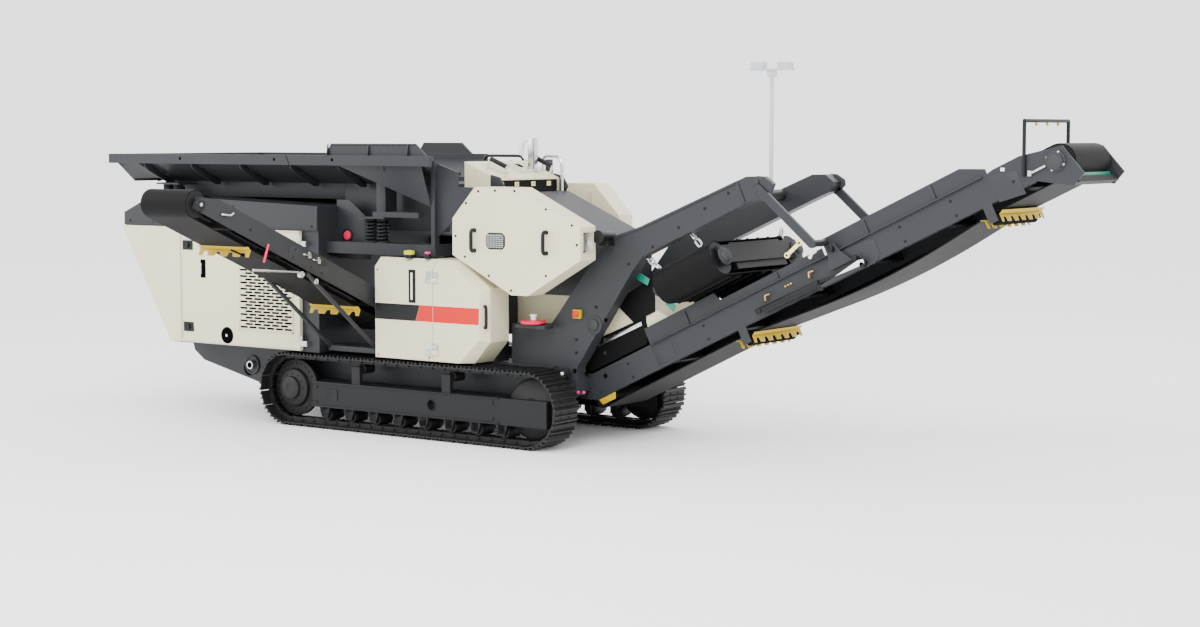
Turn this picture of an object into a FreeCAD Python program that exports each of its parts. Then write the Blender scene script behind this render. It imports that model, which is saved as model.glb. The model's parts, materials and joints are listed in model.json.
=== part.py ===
"""Tracked jaw crushing plant: hopper, jaw crusher, discharge conveyor, magnet and side conveyor.

Millimetres.  X runs along the machine towards the discharge end, Y across it, Z up from
the ground.  The pieces are laid out from the front track idler (X 0) on the middle plane
(Y 0), and are written with the origin moved to the middle of the footprint.
"near" is the -Y side and "far" the +Y side.
"""

import FreeCAD, Part
import math
import os

# ---------------------------------------------------------------- driving dimensions
TRACK_WIDTH_OVERALL = 2500.0      # outside to outside of the two tracks
SHOE_WIDTH = 424.0
TRACK_CENTRES = 3460.0            # front idler to rear sprocket
TRACK_RADIUS = 424.0              # to the tips of the grousers
TRACK_THICKNESS = 85.0            # shoe and chain link together
ROLLER_RADIUS = 74.0
ROLLER_COUNT = 8
CARRIER_RADIUS = 60.0
SEAT = 0.4                        # rolling pieces stand this far off what they run on

CHASSIS_BOTTOM = 430.0
CHASSIS_TOP = 860.0
CHASSIS_OUTER = 800.0             # half width over the side plates
CHASSIS_PLATE = 100.0

HOUSING_HALF_WIDTH = 1200.0       # engine housing, without the doors
HOUSING_FRONT = -2960.0
HOUSING_SPLIT = 2250.0            # between housing and upper cover
HOUSING_TOP = 2620.0
DOOR_THICKNESS = 50.0
DOOR_GAP = 6.0

HOPPER_RIM = 3050.0
HOPPER_REAR = -6250.0
HOPPER_FRONT = -1400.0
FAR_RIM_FRONT = -2500.0           # the far rim stops short of the near one
FAR_WALL_LOW = 2930.0             # top of the far wall in front of that
HOPPER_HALF_WIDTH = 1250.0
HOPPER_WALL = 30.0
LIP_CAP = 57.5                    # rim above the walls
LIP_DROP = 55.0                   # rim hanging outside them
LIP_DEPTH = 60.0
BOARD_TOP = 3240.0

PAN_HALF_WIDTH = 700.0
PAN_BOTTOM = 2660.0
PAN_WALL = 30.0

CRUSHER_HALF_WIDTH = 575.0
CRUSHER_BOTTOM = 1150.0
CRUSHER_TOP = 2700.0
CRUSHER_REAR = -1350.0
CRUSHER_FRONT = 400.0
BOOT_TOP = 1610.0
BOOT_HALF_WIDTH = 430.0
GUARD_FACE = 1200.0               # |Y| of the outer face of the flywheel guards
GUARD_RIM = 930.0
FLYWHEEL_RADIUS = 290.0

CABINET_FACE = 1220.0             # |Y| of its front
CABINET_BEVEL = 100.0
CABINET_SEAM = -1270.0
CABINET_BACK = CHASSIS_OUTER

CONVEYOR_ANGLE = 25.6             # degrees up from level
CONVEYOR_FOOT = (410.0, 493.0)    # X, Z where the level tail meets the rising frame
CONVEYOR_LENGTH = 6040.0          # along the slope from the foot to the tip
CONVEYOR_DEPTH = 277.0
CONVEYOR_HALF_WIDTH = 488.0
CONVEYOR_PLATE = 18.0
CONVEYOR_TAIL = -1750.0
BELT_HALF_WIDTH = 400.0
BELT_THICKNESS = 12.0
HEAD_DRUM_RADIUS = 153.0
HEAD_DRUM_AT = (CONVEYOR_LENGTH - 208.0, 93.0)    # along and square to the slope
TAIL_DRUM_RADIUS = 113.0
IDLER_RADIUS = 45.0
RETURN_RADIUS = 30.0              # of the return idlers
SHAFT_RADIUS = 32.0
RUNNING_GAP = 0.05                # radial, of a shaft in its bearing
DRUM_GAP = 0.3                    # between a drum and the belt round it

LIFT_OUTER = 742.0
LIFT_INNER = 583.0

MAGNET_AT = (1850.0, 705.0)       # centre, along and square to the slope
MAGNET_LENGTH = 760.0             # along the slope
MAGNET_RADIUS = 185.0
MAGNET_REACH = 720.0              # half distance between its drums

SIDE_NEAR_X = -2160.0             # outer planes of the side conveyor's plates
SIDE_FAR_X = -2900.0
SIDE_TAIL = (-620.0, 1250.0)      # Y, Z of the tail drum
SIDE_HEAD = (-3810.0, 2634.0)     # Y, Z of the head drum
SIDE_BELT_RADIUS = 150.0
SIDE_ANGLE = math.degrees(math.atan2(SIDE_HEAD[1] - SIDE_TAIL[1], SIDE_TAIL[0] - SIDE_HEAD[0]))

MAST_X = 1700.0
MAST_Y = 965.0
MAST_RADIUS = 24.0
MAST_TOP = 3960.0
MAST_FOOT = 2480.0

# ---------------------------------------------------------------- small helpers
PARTS = {}


def add(name, *shapes):
    """Keep one node: a single solid, or several that do not touch."""
    solids = [solid for shape in shapes for solid in shape.Solids]
    PARTS[name] = solids[0] if len(solids) == 1 else Part.makeCompound(solids)


def block(x0, x1, y0, y1, z0, z1):
    """A box from its lowest to its highest corner."""
    return Part.makeBox(x1 - x0, y1 - y0, z1 - z0, FreeCAD.Vector(x0, y0, z0))


def rod(start, end, radius):
    """A round bar between two points."""
    a, b = FreeCAD.Vector(*start), FreeCAD.Vector(*end)
    return Part.makeCylinder(radius, (b - a).Length, a, b - a)


def side_plate(points, y0, y1):
    """A plate standing along the machine: X, Z points, between two Y planes."""
    corners = [FreeCAD.Vector(x, y0, z) for x, z in points]
    face = Part.Face(Part.makePolygon(corners + corners[:1]))
    return face.extrude(FreeCAD.Vector(0, y1 - y0, 0))


def cross_plate(points, x0, x1):
    """A plate standing across the machine: Y, Z points, between two X planes."""
    corners = [FreeCAD.Vector(x0, y, z) for y, z in points]
    face = Part.Face(Part.makePolygon(corners + corners[:1]))
    return face.extrude(FreeCAD.Vector(x1 - x0, 0, 0))


def fuse(*shapes):
    """Join pieces into one solid without leftover seams."""
    joined = shapes[0]
    for shape in shapes[1:]:
        joined = joined.fuse(shape)
    return joined.removeSplitter()


def far_side(shape):
    """The same piece on the other side of the middle plane."""
    return shape.mirror(FreeCAD.Vector(0, 0, 0), FreeCAD.Vector(0, 1, 0))


def slope(s, n):
    """X, Z of a point on the discharge conveyor: s along it, n square to it."""
    angle = math.radians(CONVEYOR_ANGLE)
    x = CONVEYOR_FOOT[0] + s * math.cos(angle) - n * math.sin(angle)
    z = CONVEYOR_FOOT[1] + s * math.sin(angle) + n * math.cos(angle)
    return (x, z)


def slope_plate(points, y0, y1):
    """A side plate given along and square to the discharge conveyor."""
    return side_plate([slope(s, n) for s, n in points], y0, y1)


def slope_block(s0, s1, n0, n1, y0, y1):
    """A box square to the discharge conveyor."""
    return slope_plate([(s0, n0), (s1, n0), (s1, n1), (s0, n1)], y0, y1)


def slope_rod(s, n, y0, y1, radius):
    """A round bar across the discharge conveyor."""
    x, z = slope(s, n)
    return rod((x, y0, z), (x, y1, z), radius)


def side_slope(t, n):
    """Y, Z of a point on the side conveyor: t along it from the tail drum, n square to it."""
    angle = math.radians(SIDE_ANGLE)
    y = SIDE_TAIL[0] - t * math.cos(angle) + n * math.sin(angle)
    z = SIDE_TAIL[1] + t * math.sin(angle) + n * math.cos(angle)
    return (y, z)


def side_slope_plate(points, x0, x1):
    """A plate given along and square to the side conveyor, between two X planes."""
    return cross_plate([side_slope(t, n) for t, n in points], x0, x1)


def pulley_wire(pulleys, offset, place):
    """A closed line round pulleys (u, v, radius), counter-clockwise.

    A negative radius is a pulley outside the loop that presses it inwards.  offset grows
    the loop on its outside.  place turns u, v into a point in space.
    """
    touches = []
    count = len(pulleys)
    for i in range(count):
        u0, v0, r0 = pulleys[i]
        u1, v1, r1 = pulleys[(i + 1) % count]
        r0, r1 = r0 + offset, r1 + offset
        du, dv = u1 - u0, v1 - v0
        distance = math.hypot(du, dv)
        heading = math.atan2(dv, du) + math.asin((r0 - r1) / distance)
        normal = (math.sin(heading), -math.cos(heading))
        touches.append(((u0 + r0 * normal[0], v0 + r0 * normal[1]),
                        (u1 + r1 * normal[0], v1 + r1 * normal[1]), normal))
    edges = []
    for i in range(count):
        leave, reach, normal = touches[i]
        edges.append(Part.makeLine(place(*leave), place(*reach)))
        u, v, radius = pulleys[(i + 1) % count]
        radius += offset
        next_leave, _, next_normal = touches[(i + 1) % count]
        start = math.atan2(normal[1], normal[0])
        turn = math.atan2(next_normal[1], next_normal[0]) - start
        if radius > 0:
            turn %= 2 * math.pi
        else:
            turn = -((-turn) % (2 * math.pi))
        middle = start + turn / 2
        through = (u + radius * math.cos(middle), v + radius * math.sin(middle))
        edges.append(Part.Arc(place(*reach), place(*through), place(*next_leave)).toShape())
    return Part.Wire(edges)


def belt_loop(pulleys, thickness, place, travel):
    """A closed belt of one thickness round pulleys, as wide as the vector travel."""
    outer = Part.Face(pulley_wire(pulleys, thickness, place))
    inner = Part.Face(pulley_wire(pulleys, 0.0, place))
    return outer.cut(inner).extrude(travel)


# ---------------------------------------------------------------- crawler tracks
SHOE_INNER = TRACK_WIDTH_OVERALL / 2 - SHOE_WIDTH
TRACK_OUTER = TRACK_WIDTH_OVERALL / 2
LINK_RADIUS = TRACK_RADIUS - TRACK_THICKNESS
FRAME_OUTER = TRACK_OUTER - 52.0
FRAME_INNER = SHOE_INNER + 54.0
FRAME_BOTTOM = TRACK_THICKNESS + 2 * ROLLER_RADIUS + 7.0
FRAME_DROP = 233.0                # frame's top below the inside of the upper run
FRAME_TOP = 2 * TRACK_RADIUS - TRACK_THICKNESS - FRAME_DROP
FRAME_PLATE = 78.0
NOSE_INSET = 74.0                 # frame's nose behind the inside of the front bend
DRIVE_REACH = 120.0               # drive plate behind the sprocket's axis
BRACKET_HALF = 45.0
BRACKET_DROP = 95.0
POST_HALF = 60.0
POST_PLATE = 50.0
WINDOW_RADIUS = 55.0
WINDOW_X = -1315.0


def racetrack(radius, y0, y1):
    """A solid with two round ends round the idler and the sprocket."""
    ends = [rod((x, y0, TRACK_RADIUS), (x, y1, TRACK_RADIUS), radius) for x in (0.0, -TRACK_CENTRES)]
    middle = block(-TRACK_CENTRES, 0.0, y0, y1, TRACK_RADIUS - radius, TRACK_RADIUS + radius)
    return fuse(middle, *ends)


def roller_positions():
    """X of the bottom rollers, evenly spread under the frame."""
    first, last = -TRACK_CENTRES + 560.0, -340.0
    step = (last - first) / (ROLLER_COUNT - 1)
    return [first + i * step for i in range(ROLLER_COUNT)]


def track_frame():
    """Near track frame: long box, idler fork, final-drive plate and roller brackets."""
    rear_box = -TRACK_CENTRES + LINK_RADIUS + 40.0
    front_box = -LINK_RADIUS - 20.0
    nose = LINK_RADIUS - NOSE_INSET
    body = block(rear_box, front_box, -FRAME_OUTER, -FRAME_INNER, FRAME_BOTTOM, FRAME_TOP)
    outer = block(front_box, nose, -FRAME_OUTER, -FRAME_OUTER + FRAME_PLATE, FRAME_BOTTOM, FRAME_TOP)
    inner = block(front_box, nose, -FRAME_INNER - FRAME_PLATE, -FRAME_INNER, FRAME_BOTTOM, FRAME_TOP)
    drive = block(-TRACK_CENTRES - DRIVE_REACH, rear_box, -FRAME_INNER - FRAME_PLATE, -FRAME_INNER,
                  FRAME_BOTTOM, FRAME_TOP)
    pieces = [body, outer, inner, drive]
    for x in roller_positions():
        for y0 in (-FRAME_OUTER, -FRAME_INNER - FRAME_PLATE):
            pieces.append(block(x - BRACKET_HALF, x + BRACKET_HALF, y0, y0 + FRAME_PLATE,
                                FRAME_BOTTOM - BRACKET_DROP, FRAME_BOTTOM))
    for x in carrier_positions():
        pieces.append(block(x - POST_HALF, x + POST_HALF, -FRAME_OUTER, -FRAME_OUTER + POST_PLATE,
                            FRAME_TOP, carrier_height() + CARRIER_RADIUS / 2))
    frame = fuse(*pieces)
    middle = (FRAME_BOTTOM + FRAME_TOP) / 2
    window = rod((WINDOW_X, -FRAME_OUTER - 1.0, middle), (WINDOW_X, -FRAME_OUTER + 60.0, middle),
                 WINDOW_RADIUS)
    return frame.cut(window)


def carrier_positions():
    """X of the two rollers under the upper track run."""
    return [-TRACK_CENTRES * 0.70, -TRACK_CENTRES * 0.32]


def carrier_height():
    """Z of the carrier rollers' axis."""
    return 2 * TRACK_RADIUS - TRACK_THICKNESS - SEAT - CARRIER_RADIUS


def track_wheels():
    """Near sprocket, idler, bottom rollers and carrier rollers, each its own solid."""
    wheel = LINK_RADIUS - SEAT
    z = TRACK_RADIUS
    x = -TRACK_CENTRES
    inner_face = -FRAME_INNER - FRAME_PLATE
    outer_face = -FRAME_OUTER + FRAME_PLATE
    sprocket = fuse(rod((x, inner_face - 150.0, z), (x, inner_face, z), wheel),
                    rod((x, inner_face - 220.0, z), (x, inner_face - 150.0, z), 215.0),
                    rod((x, inner_face - 262.0, z), (x, inner_face - 220.0, z), 130.0))
    idler = fuse(rod((0, outer_face + 15.0, z), (0, inner_face - 15.0, z), wheel),
                 rod((0, outer_face, z), (0, inner_face, z), 60.0))
    wheels = [sprocket, idler]
    low = TRACK_THICKNESS + SEAT + ROLLER_RADIUS
    for roller_x in roller_positions():
        tread = rod((roller_x, outer_face + 6.0, low), (roller_x, inner_face - 6.0, low), ROLLER_RADIUS)
        wheels.append(fuse(tread, rod((roller_x, outer_face, low), (roller_x, inner_face, low), 28.0)))
    high = carrier_height()
    for roller_x in carrier_positions():
        wheels.append(rod((roller_x, -FRAME_OUTER + POST_PLATE, high), (roller_x, inner_face, high),
                          CARRIER_RADIUS))
    return wheels


shoes = racetrack(TRACK_RADIUS, -TRACK_OUTER, -SHOE_INNER).cut(
    racetrack(LINK_RADIUS, -TRACK_OUTER - 1.0, -SHOE_INNER + 1.0))
add("track_shoes_near", shoes)
add("track_shoes_far", far_side(shoes))
frame = track_frame()
add("track_frame_near", frame)
add("track_frame_far", far_side(frame))
wheels = track_wheels()
add("track_wheels_near", *wheels)
add("track_wheels_far", *[far_side(wheel) for wheel in wheels])

# ---------------------------------------------------------------- chassis
CHASSIS_REAR = -5450.0
CHASSIS_NOSE = 60.0
TOW_HOLE = (-4480.0, 560.0)
chassis_outline = [(CHASSIS_REAR, CHASSIS_TOP), (CHASSIS_REAR + 50.0, 720.0), (-5240.0, 610.0),
                   (-4330.0, 400.0), (-3950.0, 400.0), (-3850.0, CHASSIS_BOTTOM),
                   (CHASSIS_NOSE, CHASSIS_BOTTOM), (CHASSIS_NOSE, CHASSIS_TOP)]


def chassis():
    """Two side plates, three cross members and the deck under the engine."""
    inner = CHASSIS_OUTER - CHASSIS_PLATE
    near = side_plate(chassis_outline, -CHASSIS_OUTER, -inner)
    near = near.cut(rod((TOW_HOLE[0], -CHASSIS_OUTER - 1.0, TOW_HOLE[1]),
                        (TOW_HOLE[0], -inner + 1.0, TOW_HOLE[1]), 95.0))
    pieces = [near, far_side(near)]
    for x in (-2700.0, -1000.0):
        pieces.append(block(x, x + 300.0, -FRAME_INNER, FRAME_INNER, CHASSIS_BOTTOM - 170.0, CHASSIS_BOTTOM))
    pieces.append(block(CHASSIS_REAR + 60.0, -3000.0, -inner, inner, CHASSIS_TOP - 80.0, CHASSIS_TOP))
    pieces.append(block(-2700.0, -2400.0, -inner, inner, CHASSIS_BOTTOM, CHASSIS_TOP - 80.0))
    return fuse(*pieces)


add("chassis", chassis())

# ---------------------------------------------------------------- engine housing
housing_outline = [(-5330.0, CHASSIS_TOP), (HOUSING_FRONT, CHASSIS_TOP),
                   (HOUSING_FRONT, HOUSING_SPLIT), (-6150.0, HOUSING_SPLIT)]
add("engine_housing", side_plate(housing_outline, -HOUSING_HALF_WIDTH, HOUSING_HALF_WIDTH))
cover_outline = [(-6150.0, HOUSING_SPLIT), (HOUSING_FRONT, HOUSING_SPLIT),
                 (HOUSING_FRONT, HOUSING_TOP - 90.0),
                 (-5640.0, HOUSING_TOP), (-6150.0, 2400.0)]
add("engine_cover", side_plate(cover_outline, -HOUSING_HALF_WIDTH - 20.0, HOUSING_HALF_WIDTH + 20.0))

DOOR_LEFT = -5140.0
DOOR_RIGHT = -3215.0
ENGINE_HINGE = (DOOR_RIGHT + 20.0, -HOUSING_HALF_WIDTH - DOOR_GAP - DOOR_THICKNESS)
HINGE_RADIUS = 12.0
HINGE_HALF = 60.0
HINGE_PLAY = 0.3
ENGINE_HINGE_Z = (990.0, 1560.0, 2130.0)


def hinge_leaf(x, y, z, reach, back):
    """A leaf and half knuckle: upper on the door (reach < 0), lower on the frame (reach > 0)."""
    low, high = (z + HINGE_PLAY, z + HINGE_HALF) if reach < 0 else (z - HINGE_HALF, z - HINGE_PLAY)
    knuckle = rod((x, y, low), (x, y, high), HINGE_RADIUS)
    leaf = block(min(x, x + reach), max(x, x + reach), y - 4.0, y + 4.0, low, high)
    pad = block(min(x + reach, x + reach * 0.4), max(x + reach, x + reach * 0.4), y - 4.0, back, low, high)
    return fuse(knuckle, leaf, pad)


door_front = -HOUSING_HALF_WIDTH - DOOR_GAP - DOOR_THICKNESS
engine_door = block(DOOR_LEFT, DOOR_RIGHT, door_front, -HOUSING_HALF_WIDTH - DOOR_GAP,
                    CHASSIS_TOP + 15.0, HOUSING_SPLIT - 6.0)
door_leaves = [hinge_leaf(ENGINE_HINGE[0], ENGINE_HINGE[1], z, -80.0, door_front + 1.0)
               for z in ENGINE_HINGE_Z]
add("engine_door", fuse(engine_door, *door_leaves))
rear_panel = side_plate([(-5330.0, CHASSIS_TOP + 15.0), (DOOR_LEFT - 12.0, CHASSIS_TOP + 15.0),
                         (DOOR_LEFT - 12.0, HOUSING_SPLIT - 6.0), (-6146.0, HOUSING_SPLIT - 6.0)],
                        door_front, -HOUSING_HALF_WIDTH)
far_panel = side_plate([(-5330.0, CHASSIS_TOP + 15.0), (HOUSING_FRONT, CHASSIS_TOP + 15.0),
                        (HOUSING_FRONT, HOUSING_SPLIT - 6.0), (-6146.0, HOUSING_SPLIT - 6.0)],
                       HOUSING_HALF_WIDTH, -door_front)
add("engine_panels", rear_panel, far_panel)
frame_leaves = [hinge_leaf(ENGINE_HINGE[0], ENGINE_HINGE[1], z, 90.0, -HOUSING_HALF_WIDTH)
                for z in ENGINE_HINGE_Z]

# ---------------------------------------------------------------- control cabinet and its door
CABINET_LEFT = -2100.0
CABINET_BOTTOM = 870.0
CABINET_TOP = 1982.0
CABINET_RIGHT = -545.0
CABINET_SHOULDER = -945.0


def bevelled_box(points, inner_points, face_y, back_y):
    """A box whose front edge is bevelled: full outline to the bevel's foot, then a loft."""
    foot = face_y + CABINET_BEVEL
    body = side_plate(points, foot, back_y)
    wires = []
    for outline, y in ((points, foot), (inner_points, face_y)):
        corners = [FreeCAD.Vector(x, y, z) for x, z in outline]
        wires.append(Part.makePolygon(corners + corners[:1]))
    return fuse(body, Part.makeLoft(wires, True, True))


cabinet_left = bevelled_box(
    [(CABINET_LEFT, CABINET_BOTTOM), (CABINET_SEAM, CABINET_BOTTOM), (CABINET_SEAM, CABINET_TOP),
     (CABINET_LEFT, CABINET_TOP)],
    [(CABINET_LEFT, CABINET_BOTTOM), (CABINET_SEAM, CABINET_BOTTOM),
     (CABINET_SEAM, CABINET_TOP - CABINET_BEVEL),
     (CABINET_LEFT, CABINET_TOP - CABINET_BEVEL)],
    -CABINET_FACE, -CABINET_BACK)
DOOR_DEPTH = 180.0
door_back = -CABINET_FACE + DOOR_DEPTH
cabinet_rear = side_plate([(CABINET_SEAM, CABINET_BOTTOM), (-760.0, CABINET_BOTTOM), (CABINET_RIGHT, 1110.0),
                           (CABINET_RIGHT, 1700.0), (CABINET_SHOULDER, CABINET_TOP),
                           (CABINET_SEAM, CABINET_TOP)],
                          door_back + DOOR_GAP, -CABINET_BACK)
add("cabinet", fuse(cabinet_left, cabinet_rear))
x_door = CABINET_SEAM + DOOR_GAP
door_outer = [(x_door, CABINET_BOTTOM), (-760.0, CABINET_BOTTOM), (CABINET_RIGHT, 1110.0),
              (CABINET_RIGHT, 1700.0),
              (CABINET_SHOULDER, CABINET_TOP), (x_door, CABINET_TOP)]
door_inner = [(x_door, CABINET_BOTTOM), (-910.0, CABINET_BOTTOM), (-625.0, 1130.0), (-615.0, 1630.0),
              (-890.0, CABINET_TOP - CABINET_BEVEL), (x_door, CABINET_TOP - CABINET_BEVEL)]
CABINET_HINGE = (CABINET_SEAM - 2.0, -CABINET_FACE - 14.0)
CABINET_HINGE_Z = (1000.0, 1790.0)
cabinet_door = bevelled_box(door_outer, door_inner, -CABINET_FACE, door_back)
cabinet_leaves = [hinge_leaf(CABINET_HINGE[0], CABINET_HINGE[1], z, 80.0, -CABINET_FACE + 1.0)
                  for z in CABINET_HINGE_Z]
add("cabinet_door", fuse(cabinet_door, *cabinet_leaves))
post_leaves = [hinge_leaf(CABINET_HINGE[0], CABINET_HINGE[1], z, -80.0, -CABINET_FACE)
               for z in CABINET_HINGE_Z]
add("door_hinges", *frame_leaves, *post_leaves)

# ---------------------------------------------------------------- hopper and feeder
WALL_FOOT = 2780.0
WALL_FOOT_Y = PAN_HALF_WIDTH + 60.0
REAR_FOOT = HOPPER_REAR + 330.0


def hopper_wall():
    """Near sloping wall, from the feeder up to the rim."""
    t = HOPPER_WALL
    y_top, y_foot = -HOPPER_HALF_WIDTH, -WALL_FOOT_Y
    return cross_plate([(y_foot, WALL_FOOT), (y_foot, WALL_FOOT + t), (y_top + t, HOPPER_RIM),
                        (y_top, HOPPER_RIM), (y_top, HOPPER_RIM - t)], REAR_FOOT, HOPPER_FRONT)


wall = hopper_wall()
add("hopper_wall_near", wall)
far_wall_cut = block(FAR_RIM_FRONT, HOPPER_FRONT + 1.0, 0.0, 2 * HOPPER_HALF_WIDTH, FAR_WALL_LOW,
                     HOPPER_RIM + 1.0)
add("hopper_wall_far", far_side(wall).cut(far_wall_cut))
rear_inner = [(REAR_FOOT - 1.0, WALL_FOOT), (REAR_FOOT - 1.0, WALL_FOOT + HOPPER_WALL),
              (HOPPER_REAR + HOPPER_WALL, HOPPER_RIM), (HOPPER_REAR, HOPPER_RIM), (HOPPER_REAR,
                                                                                   HOPPER_RIM - HOPPER_WALL)]
add("hopper_wall_rear", side_plate(rear_inner, -HOPPER_HALF_WIDTH, HOPPER_HALF_WIDTH))
LIP_FRONT = HOPPER_FRONT + 160.0
FAR = 2 * HOPPER_HALF_WIDTH


def hopper_lip():
    """Folded rim: a cap over the walls with a band hanging outside them."""
    edge = HOPPER_HALF_WIDTH + LIP_DEPTH
    inner = HOPPER_HALF_WIDTH - HOPPER_WALL
    cap = block(HOPPER_REAR - LIP_DEPTH, LIP_FRONT, -edge, edge, HOPPER_RIM, HOPPER_RIM + LIP_CAP)
    band = block(HOPPER_REAR - LIP_DEPTH, LIP_FRONT, -edge, edge, HOPPER_RIM - LIP_DROP, HOPPER_RIM)
    mouth = block(HOPPER_REAR + HOPPER_WALL, LIP_FRONT + 1.0, -inner, inner, HOPPER_RIM, HOPPER_RIM + LIP_CAP)
    walls = block(HOPPER_REAR, LIP_FRONT + 1.0, -HOPPER_HALF_WIDTH, HOPPER_HALF_WIDTH,
                  HOPPER_RIM - LIP_DROP, HOPPER_RIM)
    front = block(FAR_RIM_FRONT, LIP_FRONT + 1.0, 0.0, FAR, HOPPER_RIM - LIP_DROP, HOPPER_RIM + LIP_CAP)
    return fuse(cap.cut(mouth), band.cut(walls)).cut(front)


def board(x0, x1, y):
    """A raised board standing on the rim, with sloping ends."""
    base = HOPPER_RIM + LIP_CAP
    return side_plate([(x0 - 90.0, base), (x1 + 160.0, base), (x1, BOARD_TOP), (x0, BOARD_TOP)], y, y + 25.0)


add("hopper_rim", fuse(hopper_lip(), board(-2710.0, -1480.0, -HOPPER_HALF_WIDTH),
                       board(-3450.0, -2850.0, HOPPER_HALF_WIDTH - 25.0)))

PAN_FRONT = HOPPER_FRONT + 20.0
pan_outer = block(REAR_FOOT + 30.0, PAN_FRONT, -PAN_HALF_WIDTH, PAN_HALF_WIDTH, PAN_BOTTOM, WALL_FOOT + 60.0)
pan_space = block(REAR_FOOT + 60.0, PAN_FRONT + 1.0, -PAN_HALF_WIDTH + PAN_WALL, PAN_HALF_WIDTH - PAN_WALL,
                  PAN_BOTTOM + PAN_WALL, WALL_FOOT + 61.0)
SPRING_X = {"rear": -5560.0, "front": -2300.0}
SPRING_Y = 950.0
SPRING_RADIUS = 75.0
SPRING_PITCH = 170.0
EAR = 20.0
rear_ear = block(SPRING_X["rear"] - 190.0, SPRING_X["rear"] + 190.0, -SPRING_Y - 110.0, -PAN_HALF_WIDTH,
                 WALL_FOOT - 20.0 - EAR, WALL_FOOT - 20.0)
FRONT_EAR = 2400.0                # Z of the front springs' upper seat
front_ear = fuse(
    block(SPRING_X["front"] - 190.0, SPRING_X["front"] + 190.0, -SPRING_Y - 110.0, -PAN_HALF_WIDTH,
          FRONT_EAR, FRONT_EAR + EAR),
    block(SPRING_X["front"] - 190.0, SPRING_X["front"] + 190.0, -PAN_HALF_WIDTH - EAR, -PAN_HALF_WIDTH,
          FRONT_EAR, WALL_FOOT - EAR),
    block(SPRING_X["front"] + 30.0, SPRING_X["front"] + 700.0, -SPRING_Y - 110.0, -SPRING_Y - 10.0,
          FRONT_EAR + EAR, FRONT_EAR + 80.0))
ears = [rear_ear, front_ear]
add("feeder_pan", fuse(pan_outer.cut(pan_space), *ears, *[far_side(ear) for ear in ears]))

SUPPORT_TOP = 2130.0
SUPPORT_DEPTH = 130.0


def cover_top(x):
    """Z of the sloping top of the engine cover."""
    front, rear = HOUSING_FRONT, -5640.0
    return HOUSING_TOP - 90.0 * (x - rear) / (front - rear)


springs = []
for offset in (-SPRING_PITCH / 2, SPRING_PITCH / 2):
    x = SPRING_X["rear"] + offset
    foot = block(x - 80.0, x + 80.0, -SPRING_Y - 80.0, -SPRING_Y + 80.0, cover_top(x - 80.0) + 1.0,
                 HOUSING_TOP + 15.0)
    coil = rod((x, -SPRING_Y, HOUSING_TOP), (x, -SPRING_Y, WALL_FOOT - 20.0 - EAR), SPRING_RADIUS)
    springs.append(fuse(foot, coil))
    x = SPRING_X["front"] + offset
    springs.append(rod((x, -SPRING_Y, SUPPORT_TOP), (x, -SPRING_Y, FRONT_EAR), SPRING_RADIUS))
add("feeder_springs", *springs, *[far_side(spring) for spring in springs])


def feeder_support():
    """Near beam from the engine cover to the crusher, with the post under the hopper's front."""
    y0, y1 = -SPRING_Y - 130.0, -SPRING_Y + 130.0
    beam = block(HOUSING_FRONT, CRUSHER_REAR, y0, y1, SUPPORT_TOP - SUPPORT_DEPTH, SUPPORT_TOP)
    gusset = block(CRUSHER_REAR - 100.0, CRUSHER_REAR, y1, -CRUSHER_HALF_WIDTH,
                   SUPPORT_TOP - SUPPORT_DEPTH, SUPPORT_TOP)
    post = block(HOPPER_FRONT, CRUSHER_REAR, y0, y0 + 80.0, SUPPORT_TOP, HOPPER_RIM)
    column = block(CRUSHER_REAR - 110.0, CRUSHER_REAR, -CABINET_BACK + 8.0, -CHASSIS_OUTER + CHASSIS_PLATE,
                   CHASSIS_TOP, SUPPORT_TOP)
    return fuse(beam, gusset, post, column)


support = feeder_support()
cheek_y = -SPRING_Y - 70.0
cheek = side_plate([(CRUSHER_REAR, 3020.0), (-1070.0, 2930.0), (-1070.0, 2770.0), (-800.0, 2770.0),
                    (-1070.0, 2440.0), (CRUSHER_REAR, 2230.0)], cheek_y, cheek_y + 20.0)
add("feeder_supports", fuse(support, cheek), far_side(support))

# ---------------------------------------------------------------- jaw crusher
CRUSHER_STEP = -710.0
crusher_outline = [(CRUSHER_REAR, CRUSHER_BOTTOM), (CRUSHER_STEP, CRUSHER_BOTTOM), (CRUSHER_STEP, BOOT_TOP),
                   (CRUSHER_FRONT, BOOT_TOP), (CRUSHER_FRONT, 2200.0), (-750.0, CRUSHER_TOP),
                   (CRUSHER_REAR, CRUSHER_TOP)]
crusher = side_plate(crusher_outline, -CRUSHER_HALF_WIDTH, CRUSHER_HALF_WIDTH)
foot = block(-1240.0, -720.0, -CHASSIS_OUTER, -CRUSHER_HALF_WIDTH, CHASSIS_TOP, 1400.0)
add("crusher_body", fuse(crusher, foot, far_side(foot)))

hood_half = CRUSHER_HALF_WIDTH - 10.0
add("crusher_hood", side_plate(
    [(CRUSHER_REAR + 5.0, CRUSHER_TOP), (-870.0, CRUSHER_TOP), (-870.0, 2850.0),
     (CRUSHER_REAR + 5.0, 3040.0)],
    -hood_half, hood_half))

guard_outline = [(-690.0, 2780.0), (-130.0, 2780.0), (710.0, 2385.0), (710.0, 2035.0), (20.0, 1640.0),
                 (-200.0, 1640.0), (-1000.0, 2045.0), (-1000.0, 2440.0)]
far_guard_outline = [(-1250.0, 2780.0), (-650.0, 2780.0), (-300.0, 2420.0), (-300.0, 2035.0),
                     (-620.0, 1640.0), (-1000.0, 1640.0), (-1250.0, 2035.0)]
ARM = 80.0


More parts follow.
